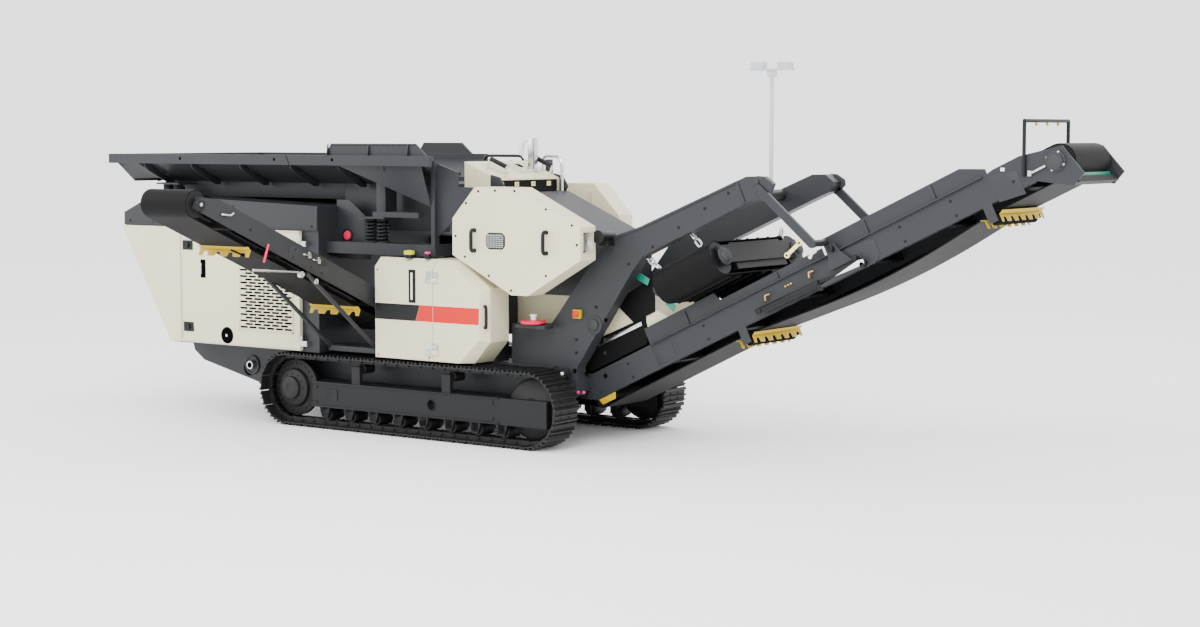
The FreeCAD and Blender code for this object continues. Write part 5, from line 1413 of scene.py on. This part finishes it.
@dataclass
class LiftingFrame(SubAssembly):
    """The frame that holds the discharge conveyor and the magnet: pins, bolts and welded pads."""

    outer: float = 0.742

    def pins(self) -> None:
        """Pivot pins, their pads and the beams' bolts."""
        pads, pins = [], []
        for side in (-1, 1):
            face = side * self.outer
            for x, z, r in ((2.564, 2.864, 0.050), (2.623, 2.749, 0.038)):
                pads.append(disc(r, 0.008, at(x, face, z), Vector((0, side, 0)), 20))
                pins.append(turned([(0.008, r * 0.55), (0.024, r * 0.55), (0.030, r * 0.4), (0.030, 0.0)],
                    at(x, face, z), Vector((0, side, 0)), 16))
            x, z = 0.560, 1.330
            pads.append(disc(0.10, 0.010, at(x, face, z), Vector((0, side, 0)), 24))
            pins.append(turned([(0.010, 0.060), (0.030, 0.060), (0.036, 0.050), (0.036, 0.0)], at(x, face, z),
                Vector((0, side, 0)), 24))
        self.keep("frame_pads", pads, DARK_ENAMEL, 0.002)
        self.keep("frame_pins", pins, GREY_CASTING)
        near = [at(x, -self.outer, z) for x, z in ((1.00, 1.99), (1.30, 2.18), (1.62, 2.39), (1.94, 2.59),
            (2.22, 2.75))]
        far = HERE.mirrored(near)
        self.keep("frame_bolts", [bolts(near, FRONT, 0.022), bolts(far, BACK, 0.022)], BLACK_ENAMEL)

    def hangers(self) -> None:
        """Links that hang the conveyor from the frame."""
        links, plates, holes = [], [], []
        for side in (-1, 1):
            y, away = side * 0.790, Vector((0, side, 0))
            ends = (at(2.945, y, 2.150), at(3.085, y, 2.276))
            way = (ends[1] - ends[0]).normalized()
            edge = Vector((-way.z, 0, way.x)) * 0.020
            links.append(drawn([ends[0] - edge, ends[1] - edge, ends[1] + edge, ends[0] + edge],
                away * 0.010))
            for end in ends:
                links.append(turned([(0.0, 0.0), (0.0, 0.030), (0.012, 0.030), (0.014, 0.0)], end, away, 16))
                # A black disc on each boss is painted shade for the pin hole.
                holes.append(turned([(0.014, 0.012), (0.018, 0.012), (0.018, 0.0)], end, away, 12))
            spot = [(3.050, 2.125), (3.066, 2.104), (3.088, 2.110), (3.104, 2.150), (3.150, 2.178),
                (3.143, 2.192), (3.085, 2.170)]
            plates.append(panel(side * 0.560, spot, side * 0.010))
        self.keep("hanger_links", links, CREAM_PLASTIC, 0.001)
        self.keep("hanger_hole_shade", holes, BLACK_ENAMEL)
        self.keep("hanger_plates", plates, WHITE_PLASTIC, 0.002)

    def lugs(self) -> None:
        """Lugs at the beams' tips, and the ribs along them."""
        heads, ribs = [], []
        for side in (-1, 1):
            low, high = sorted((side * self.outer, side * (self.outer + 0.012)))
            lug = [(2.560, 2.930), (2.640, 2.924), (2.735, 2.868), (2.742, 2.810), (2.690, 2.760),
                (2.640, 2.735), (2.560, 2.760)]
            heads.append(panel(low, lug, high - low))
            ribs.append(panel(low, ((2.300, 2.858), (2.330, 2.872), (2.425, 2.668), (2.395, 2.655)),
                high - low))
            rim = [(0.640, 2.140), (0.795, 2.272), (1.142, 2.384), (2.310, 2.870), (2.318, 2.846),
                (1.150, 2.360), (0.806, 2.248), (0.660, 2.125)]
            ribs.append(panel(low, rim, (high - low) * 1.6))
        self.keep("frame_lugs", heads, DARK_ENAMEL, 0.004)
        self.keep("frame_ribs", ribs, DARK_ENAMEL, 0.002)

    def build(self) -> None:
        """Builds the frame's fittings."""
        self.pins()
        self.hangers()
        self.lugs()


@dataclass
class Magnet(SubAssembly):
    """Overband magnet: chains, guard sheets, covers, motor and belt cleats."""

    centre: tuple[float, float] = (1.850, 0.705)
    length: float = 0.760
    reach: float = 0.720
    radius: float = 0.185

    def chain(self, start: Vector, end: Vector, wire: float = 0.011,
              pitch: float = 0.074) -> bpy.types.Object:
        """A run of oval links between two points.

        Args:
            start: its upper end.
            end: its lower end.
            wire: radius of a link's wire.
            pitch: from one link to the next.

        Returns:
            All links as one object.
        """
        long, wide = pitch / 2 + wire * 0.7, 0.026
        corners_of_link = []
        for i in range(24):
            a = math.tau * i / 24
            lean = long - wide
            corners_of_link.append(Vector((wide * math.cos(a), 0.0, wide * math.sin(a)
                + (lean if math.sin(a) >= 0 else -lean))))
        link = bent([*corners_of_link, corners_of_link[0]], wire, 0.001)
        way = end - start
        count = max(2, round(way.length / pitch))
        turn = way.to_track_quat("Z", "Y").to_matrix().to_4x4()
        return copies(link, [Matrix.Translation(start + way * ((i
            + 0.5) / count)) @ turn @ Matrix.Rotation(math.radians(90 * (i % 2)), 4, "Z")
            for i in range(count)])

    def chain_runs(self) -> None:
        """The five chains that carry the magnet."""
        runs = [((1.134, 2.080), (1.312, 1.958), -0.633), ((1.706, 2.331), (1.829, 2.199), -0.633),
            ((2.032, 2.330), (2.014, 2.185), 0.633), ((1.134, 2.080), (1.312, 1.958), 0.633), ((2.258, 2.740),
            (2.128, 2.551), 0.633)]
        chains = [self.chain(at(x0, y, z0), at(x1, y, z1)) for (x0, z0), (x1, z1), y in runs]
        self.keep("chains", chains, ZINC_PLATE, stands_for=["magnet_chains"])

    def belt_and_bearings(self) -> None:
        """Belt cleats, drum bearings and the end's bolts."""
        s0, s1 = self.centre[0] - self.length / 2, self.centre[0] + self.length / 2
        n = self.centre[1]
        cleats = []
        top, bottom = n + self.radius, n - self.radius
        for i in range(7):
            y = -self.reach + (i + 0.5) * 2 * self.reach / 7
            for face, lift in ((top, 0.022), (bottom, -0.022)):
                cleats.append(drawn([slope(s0 + 0.03, face, y - 0.020), slope(s0 + 0.03, face, y + 0.020),
                    slope(s0 + 0.03, face + lift, y + 0.010), slope(s0 + 0.03, face + lift, y - 0.010)],
                    slope(s1 - 0.03, 0, 0) - slope(s0 + 0.03, 0, 0)))
        self.keep("magnet_cleats", cleats, SHEET_RUBBER, 0.002)
        covers = []
        for s, way in ((s0 - 0.052, -1), (s1 + 0.052, 1)):
            direction = (slope(way, 0, 0) - slope(0, 0, 0)).normalized()
            for y in (-self.reach, self.reach):
                covers.append(turned([(0.0, 0.100), (0.012, 0.098), (0.020, 0.070), (0.050, 0.062),
                    (0.054, 0.045), (0.054, 0.0)], slope(s, n, y), direction, 28))
        self.keep("magnet_bearings", covers, GREY_CASTING, 0.001)
        rim = (slope(-1, 0, 0) - slope(0, 0, 0)).normalized()
        heads = [slope(s0 - 0.050, n + k, y) for y in (-0.55, -0.30, 0.0, 0.30, 0.55)
            for k in (-0.045, 0.095)]
        self.keep("magnet_bolts", [bolts(heads, rim, 0.022)], ZINC_PLATE)

    def guides_and_skirts(self) -> None:
        """Guide plates and rubber skirts below the magnet."""
        teal = []
        for (x0, z0), (x1, z1), y in (((0.930, 1.905), (1.100, 1.825), -0.50), ((1.333, 1.636),
                (1.433, 1.557), -0.50)):
            drop = Vector((-0.028, 0, -0.070))
            a, b = at(x0, y, z0), at(x1, y, z1)
            teal.append(drawn([a, b, b + drop, a + drop], Vector((0, 0.006, 0))))
        self.keep("guide_plates", teal, GREEN_ENAMEL, 0.002)
        sheets = [panel(-0.450, ((0.600, 1.560), (1.134, 1.850), (1.135, 1.480), (0.86, 1.35)), 0.010),
            panel(0.440, ((0.600, 1.560), (1.134, 1.850), (1.135, 1.480), (0.86, 1.35)), 0.010)]
        self.keep("skirt_sheets", sheets, SHEET_RUBBER, 0.002)

    def drive(self) -> None:
        """The belt's motor."""
        s0, n = self.centre[0] - self.length / 2, self.centre[1]
        motor = rod(slope(s0 - 0.106, n + 0.02, -0.43), slope(s0 - 0.106, n + 0.02, -0.18), 0.050, 24, 0.006)
        gearbox = box(slope(s0 - 0.106, n, -0.44) - Vector((0.06, 0.06, 0.06)), slope(s0 - 0.106, n, -0.44)
            + Vector((0.06, 0.06, 0.06)), 0.01)
        self.keep("magnet_motor", [motor, gearbox], BLACK_ENAMEL, 0.003)

    def build(self) -> None:
        """Builds the magnet's details."""
        self.chain_runs()
        self.belt_and_bearings()
        self.guides_and_skirts()
        self.drive()


@dataclass
class Discharge(SubAssembly):
    """Discharge conveyor: comb guards, idlers, fold pins, head bearing, scraper, skirts and nozzles."""

    half: float = 0.488
    guards_at: tuple[float, ...] = (2.02, 5.03)
    drum: tuple[float, float] = (5.832, 0.093)     # along and square to the belt

    def discs(self, s: float) -> list[bpy.types.Object]:
        """The rubber discs along one return idler."""
        ring = [(0.0, 0.0), (0.0, 0.044), (0.006, 0.052), (0.020, 0.052), (0.026, 0.044), (0.026, 0.0)]
        return [turned(ring, slope(s, -0.146, -0.42 + 0.07 * i - 0.013), BACK, 20) for i in range(13)]

    def guards(self) -> None:
        """Comb guards over the return idlers, and the idlers' rubber discs."""
        plates, rubber, ears = [], [], []
        for s in self.guards_at:
            for start, way in ((s + 0.085, -1), (s - 0.085, 1)):
                travel = (slope(way, 0, 0) - slope(0, 0, 0)) * 0.006
                plates += comb(lambda u, n, at=start: slope(at, n, u), travel, -0.480, 0.480, -0.118, -0.196,
                    6)
            rubber += self.discs(s)
            for side in (-1, 1):
                inner, outer = side * 0.482, side * (self.half + 0.002)
                ears.append(drawn([slope(s - 0.050, 0.010, inner), slope(s - 0.050, 0.010, outer),
                    slope(s - 0.050, -0.170, outer), slope(s - 0.050, -0.170, inner)], slope(s + 0.050, 0,
                    0) - slope(s - 0.050, 0, 0)))
        self.keep("comb_guards", plates, YELLOW_ENAMEL, 0.002, stands_for=["belt_guards"])
        self.keep("return_discs", rubber, SHEET_RUBBER)
        self.keep("guard_ears", ears, DARK_ENAMEL, 0.002)
        tail = sloped(-0.496, [(0.03, -0.01), (0.27, -0.01), (0.24, -0.075), (0.06, -0.075)],
            Vector((0, 0.008, 0)))
        self.keep("tail_guard", [tail], YELLOW_ENAMEL, 0.002)

    def side_plates(self) -> None:
        """Joint plates, bolts, head bearings and adjusters of both sides."""
        dots, pads = [], []
        for side, word in SIDES:
            face, way = side * self.half, Vector((0, side, 0))
            spots = [(1.011, 0.193), (1.022, 0.158), (1.034, 0.123), (1.045, 0.088), (5.239, 0.191),
                (5.241, 0.135), (5.240, 0.081)]
            dots += [disc(0.012, 0.001, slope(s, n, face), way, 12) for s, n in spots]
            pins = [(3.357, 0.230), (3.565, 0.107), (3.275, 0.052), (3.080, 0.047), (3.626, 0.031),
                (5.371, 0.098)]
            fixings = [slope(s, n, face) for s, n in pins]
            pads += [disc(0.026, 0.005, place, way, 16) for place in fixings]
            joint_heads = [slope(s, n, face) for s in (0.55, 1.60, 2.45, 4.10, 4.70) for n in (0.05, 0.20)]
            self.keep(f"plate_bolts_{word}", [bolts(joint_heads, way, 0.020), bolts(fixings, way, 0.028)],
                BLACK_ENAMEL)
            fish = [(3.05, -0.01), (3.72, -0.01), (3.80, 0.05), (3.80, 0.20), (3.70, 0.262), (3.10, 0.262),
                (3.00, 0.20), (3.00, 0.05)]
            pads.append(sloped(face, fish, way * 0.0045))
            shoe = [(0.90, 0.03), (1.16, 0.03), (1.16, 0.24), (0.90, 0.24)]
            pads.append(sloped(face, shoe, way * 0.003))
            reinforcement = [(5.16, -0.02), (5.44, -0.06), (5.44, 0.17), (5.30, 0.235), (5.16, 0.235)]
            pads.append(sloped(face, reinforcement, way * 0.004))
            hub = turned([(0.0, 0.100), (0.014, 0.100), (0.020, 0.086), (0.030, 0.070), (0.044, 0.062),
                (0.050, 0.040), (0.050, 0.0)], slope(*self.drum, face), way, 32)
            self.keep(f"head_bearing_{word}", [hub], GREY_CASTING, 0.001)
            ring = [(math.cos(a) * 0.086, math.sin(a) * 0.086) for a in (0.785, 2.356, 3.927, 5.498)]
            self.keep(f"bearing_bolts_{word}", [bolts([slope(self.drum[0] + p, self.drum[1] + q,
                face + side * 0.014) for p, q in ring], way, 0.020)], ZINC_PLATE)
            adjuster = rod(slope(5.56, 0.093, face + side * 0.020), slope(5.73, 0.093, face + side * 0.020),
                0.012, 12)
            block = box(slope(5.56, 0.093, face) - Vector((0.018, 0.0 if side > 0 else 0.036, 0.026)),
                slope(5.56, 0.093, face) + Vector((0.018, 0.036 if side > 0 else 0.0, 0.026)), 0.004)
            self.keep(f"belt_adjuster_{word}", [adjuster, block], ZINC_PLATE, 0.002)
            cap = box(slope(5.32, 0.246, side * 0.492) - Vector((0.02, 0.012, 0.016)), slope(5.32, 0.246,
                side * 0.492) + Vector((0.02, 0.012, 0.016)), 0.004)
            self.keep(f"leg_cap_{word}", [cap], WHITE_PLASTIC, 0.003)
        self.keep("plate_dots", dots, SHADOW_BLACK)
        self.keep("plate_pads", pads, DARK_ENAMEL, 0.001)

    def fold_section(self) -> None:
        """Flanges, levers, pins and wedges where the conveyor folds."""
        flanges, levers, brackets, elbows, bright = [], [], [], [], []
        run = slope(5.10, 0, 0) - slope(0.92, 0, 0)
        for side in (-1, 1):
            face = side * self.half
            low, high = sorted((face, side * (self.half + 0.034)))
            flanges.append(drawn([slope(0.92, n, y) for n, y in ((0.262, low), (0.262, high), (0.275, high),
                (0.275, low))], run))
            for s in (1.43, 2.62, 3.75, 4.55):
                top = 0.352 if 1.9 < s < 3.2 else 0.425
                edge = sorted((face, side * (self.half + 0.016)))
                flanges.append(drawn([slope(s + d, 0.278, edge[0]) for d in (0.0, 0.030)]
                    + [slope(s + d, top, edge[0]) for d in (0.030, 0.0)], Vector((0, edge[1] - edge[0], 0))))
            away = Vector((0, side, 0))
            out = side * (self.half + 0.092)
            arm = [(3.08, 0.012), (3.60, 0.055), (3.655, 0.040), (3.660, 0.010), (3.62, -0.012),
                (3.10, -0.014), (3.05, 0.0)]
            levers.append(sloped(out, arm, away * 0.012))
            horn = [(3.22, 0.110), (3.320, 0.340), (3.395, 0.345), (3.430, 0.250), (3.520, 0.110)]
            levers.append(sloped(side * (self.half + 0.040), horn, away * 0.012))
            for s, n in ((3.357, 0.300), (3.565, 0.107), (3.09, 0.0), (3.62, 0.02), (2.33, 0.062)):
                brackets.append(turned([(0.0, 0.032), (0.050, 0.032), (0.056, 0.024), (0.056, 0.0)],
                    slope(s, n, side * (self.half + 0.052)), away, 18))
            wedge = [(3.30, 0.030), (3.60, 0.072), (3.655, 0.060), (3.660, 0.030), (3.62, 0.012)]
            bright.append(sloped(out + side * 0.012, wedge, away * 0.004))
            for s, n in ((2.445, 0.170), (3.010, 0.180)):
                elbows.append(bent([slope(s - 0.025, n - 0.035, face), slope(s - 0.025, n - 0.035,
                    face + side * 0.035), slope(s - 0.005, n + 0.020, face + side * 0.035), slope(s + 0.050,
                    n + 0.010, face + side * 0.035)], 0.009, 0.015))
            for k in range(3):
                elbows.append(turned([(0.0, 0.010), (0.022, 0.010), (0.026, 0.0)], slope(2.69 + k * 0.035,
                    0.180, face), away, 10))
        flap = [(2.25, 0.004), (4.85, 0.004), (4.85, -0.070), (4.40, -0.105), (3.60, -0.140), (2.80, -0.115),
            (2.25, -0.072)]
        hem = sloped(0.420, flap, Vector((0, 0.008, 0)))
        self.keep("far_flap", [hem], SHEET_RUBBER, 0.001)
        self.keep("channel_flanges", flanges, DARK_ENAMEL, 0.002)
        self.keep("fold_levers", levers, DARK_ENAMEL, 0.003)
        self.keep("fold_pins", brackets, BLACK_ENAMEL)
        self.keep("fold_wedges", bright, WHITE_PLASTIC, 0.001)
        self.keep("pipe_fittings", elbows, BRASS)

    def ends(self) -> None:
        """Boot clamps, the head drum's ribs, the scraper and the spray tips."""
        bars = [drawn([at(0.234 + 0.02, y0, 1.000), at(0.973, y0, 1.325), at(0.962, y0, 1.365), at(0.234, y0,
            1.036)], Vector((0, 0.010, 0))) for y0 in (-0.456, 0.446)]
        self.keep("boot_clamps", bars, ZINC_PLATE, 0.002)
        rib = box(Vector((-0.007, -0.405, 0.1515)), Vector((0.007, 0.405, 0.1527)))
        ribs = copies(rib, [Matrix.Translation(slope(*self.drum, 0)) @ Matrix.Rotation(math.tau * i / 18, 4,
            "Y") for i in range(18)])
        self.keep("head_drum_ribs", [ribs], DRUM_LAGGING, body="head_drum")
        edge = [(5.886, -0.115), (5.912, -0.115), (5.925, -0.070), (5.905, -0.066)]
        sweep = sloped(-0.44, edge, Vector((0, 0.88, 0)))
        self.keep("scraper_blade", [sweep], GREEN_ENAMEL, 0.001)
        tips = []
        low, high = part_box("spray_hoop")
        for y in (-0.25, 0.0, 0.25):
            spot = Vector(((low.x + high.x) / 2 + 0.004, HERE.origin.y + y, high.z - 0.030))
            tips.append(turned([(0.0, 0.008), (0.020, 0.012), (0.034, 0.016), (0.034, 0.0)], spot,
                Vector((0, 0, -1)), 14))
        self.keep("spray_tips", tips, YELLOW_ENAMEL)

    def build(self) -> None:
        """Builds the conveyor's details."""
        self.guards()
        self.side_plates()
        self.fold_section()
        self.ends()


@dataclass
class SideConveyor(SubAssembly):
    """Side conveyor: slots, fold cylinder, joint plates, cleated belt, guards, buckles and drum bearings."""

    near_x: float = -2.160
    far_x: float = -2.900

    def marks_and_cylinder(self) -> None:
        """Slots, the fold cylinder and its marker."""
        x, out = self.near_x, AHEAD
        marks = [drawn([at(x, y, z) for y, z in ((-3.370, 2.165), (-3.170, 2.094), (-3.176, 2.074),
            (-3.376, 2.146))], out * 0.001)]
        marks += [disc(0.013, 0.001, at(x, y, z), out, 12) for y, z in ((-2.980, 2.150), (-2.560, 1.968),
            (-1.930, 1.695), (-1.520, 1.520))]
        self.keep("side_slots", marks, SHADOW_BLACK)
        tube = rod(at(x + 0.022, -3.077, 1.932), at(x + 0.022, -2.396, 1.876), 0.014)
        bush = turned([(0.0, 0.036), (0.040, 0.036), (0.044, 0.022), (0.044, 0.0)], at(x, -2.360, 1.850), out,
            20)
        ring = turned([(0.0, 0.030), (0.010, 0.030), (0.010, 0.018), (0.002, 0.016), (0.002, 0.0)],
            at(x, -2.107, 1.760), out, 20)
        self.keep("fold_cylinder", [tube, bush, ring], ZINC_PLATE)
        bar = rod(at(x + 0.014, -2.840, 2.192), at(x + 0.014, -2.910, 2.008), 0.014)
        self.keep("fold_marker", [bar], PINK_ENAMEL)

    def plates_and_bearings(self) -> None:
        """Joint plates, bolts and drum bearings."""
        pads, heads = [], []
        for face, way in ((self.near_x, 1), (self.far_x, -1)):
            direction = Vector((way, 0, 0))
            outline = [(1.50, -0.05), (2.02, -0.05), (2.08, 0.0), (2.08, 0.08), (2.02, 0.12), (1.50, 0.12),
                (1.44, 0.08), (1.44, 0.0)]
            pads.append(drawn([HERE.side(t, n, face) for t, n in outline], direction * 0.0045))
            for t, n in ((1.52, -0.01), (1.52, 0.08), (1.70, -0.01), (1.84, 0.08), (2.00, -0.01),
                    (2.00, 0.08), (0.45, 0.03), (2.70, 0.03), (3.10, 0.03)):
                heads.append((HERE.side(t, n, face), direction))
        self.keep("side_pads", pads, DARK_ENAMEL, 0.001)
        near = bolts([p for p, d in heads if d.x > 0], AHEAD, 0.020)
        far = bolts([p for p, d in heads if d.x < 0], Vector((-1, 0, 0)), 0.020)
        self.keep("side_bolts", [near, far], BLACK_ENAMEL)
        hubs = []
        length = math.dist(SIDE_TAIL, SIDE_HEAD)
        for face, way in ((self.near_x, 1), (self.far_x, -1)):
            for t in (0.0, length):
                hubs.append(turned([(0.0, 0.075), (0.010, 0.075), (0.014, 0.055), (0.030, 0.048),
                    (0.034, 0.0)], HERE.side(t, 0.0, face), Vector((way, 0, 0)), 24))
        self.keep("side_bearings", hubs, BLACK_ENAMEL, 0.001)
        caps = [turned([(0.034, 0.020), (0.040, 0.018), (0.042, 0.012), (0.042, 0.0)], HERE.side(t, 0.0,
            self.near_x), AHEAD, 20) for t in (0.0, length)]
        self.keep("bearing_caps", caps, ZINC_PLATE)

    def cleats_and_guards(self) -> None:
        """Belt cleats and comb guards."""
        cleats = []
        for i in range(15):
            t = 0.20 + i * 0.215
            cleats.append(drawn([HERE.side(t, 0.150, self.far_x + 0.12), HERE.side(t + 0.03, 0.150,
                self.far_x + 0.12), HERE.side(t + 0.02, 0.172, self.far_x + 0.12), HERE.side(t + 0.01, 0.172,
                self.far_x + 0.12)], Vector((self.near_x - self.far_x - 0.24, 0, 0))))
        self.keep("side_cleats", cleats, SHEET_RUBBER, 0.002)
        plates = []
        travel = (HERE.side(1, 0, 0) - HERE.side(0, 0, 0)) * -0.006
        for t, top, foot in ((2.620, -0.170, -0.245), (0.780, -0.170, -0.240)):
            plates += comb(lambda u, n, at=t: HERE.side(at, n, u), travel, self.far_x, self.near_x, top, foot,
                4)
        self.keep("side_guards", plates, YELLOW_ENAMEL, 0.001)

    def latches(self) -> None:
        """Over-centre latches and the keeper at the head."""
        x = self.near_x
        hooks = []
        for t in (1.62, 1.78):
            hooks.append(bent([HERE.side(t, 0.090, x + 0.005), HERE.side(t, 0.090, x + 0.030),
                HERE.side(t + 0.10, 0.070, x + 0.030), HERE.side(t + 0.10, 0.070, x + 0.005)], 0.009, 0.015))
            hooks.append(box(HERE.side(t - 0.03, 0.075, x), HERE.side(t + 0.0, 0.115, x)
                + Vector((0.020, -0.03, 0.02)), 0.003))
        self.keep("fold_latches", hooks, ZINC_PLATE, 0.001)
        keeper = bent([HERE.side(3.16, 0.02, x + 0.004), HERE.side(3.16, 0.02, x + 0.030), HERE.side(3.05,
            0.05, x + 0.030), HERE.side(3.02, 0.09, x + 0.030)], 0.010, 0.02)
        self.keep("head_keeper", [keeper], ZINC_PLATE)

    def build(self) -> None:
        """Builds the side conveyor's details."""
        self.marks_and_cylinder()
        self.plates_and_bearings()
        self.cleats_and_guards()
        self.latches()


@dataclass
class Mast(SubAssembly):
    """Lighting mast: the rings round the top of its pole."""

    x: float = 1.700
    y: float = 0.965
    rings: int = 3

    def build(self) -> None:
        """Builds the mast's details."""
        _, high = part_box("mast_pole")
        rings = []
        for i in range(self.rings):
            place = at(self.x, self.y, 0)
            place.z = high.z - 0.030 - i * 0.030
            rings.append(turned([(0.0, 0.0245), (0.0, 0.030), (0.008, 0.030), (0.008, 0.0245)], place, UP,
                16))
        self.keep("mast_rings", rings, CAST_ALUMINIUM, body="mast")


def main() -> None:
    """Builds the plant's looks in order."""
    logging.basicConfig(level=logging.INFO, format="%(message)s")
    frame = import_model()
    HERE.read()
    Studio().build()
    dress_nodes(frame)
    for group in GROUPS:
        group().build()
        LOG.info("%s done", group.__name__)


GROUPS = (Tracks, EngineHousing, Cabinet, Guards, Hood, Hopper, Chassis, LiftingFrame, Magnet, Discharge,
    SideConveyor, Mast)

if __name__ == "__main__":
    main()
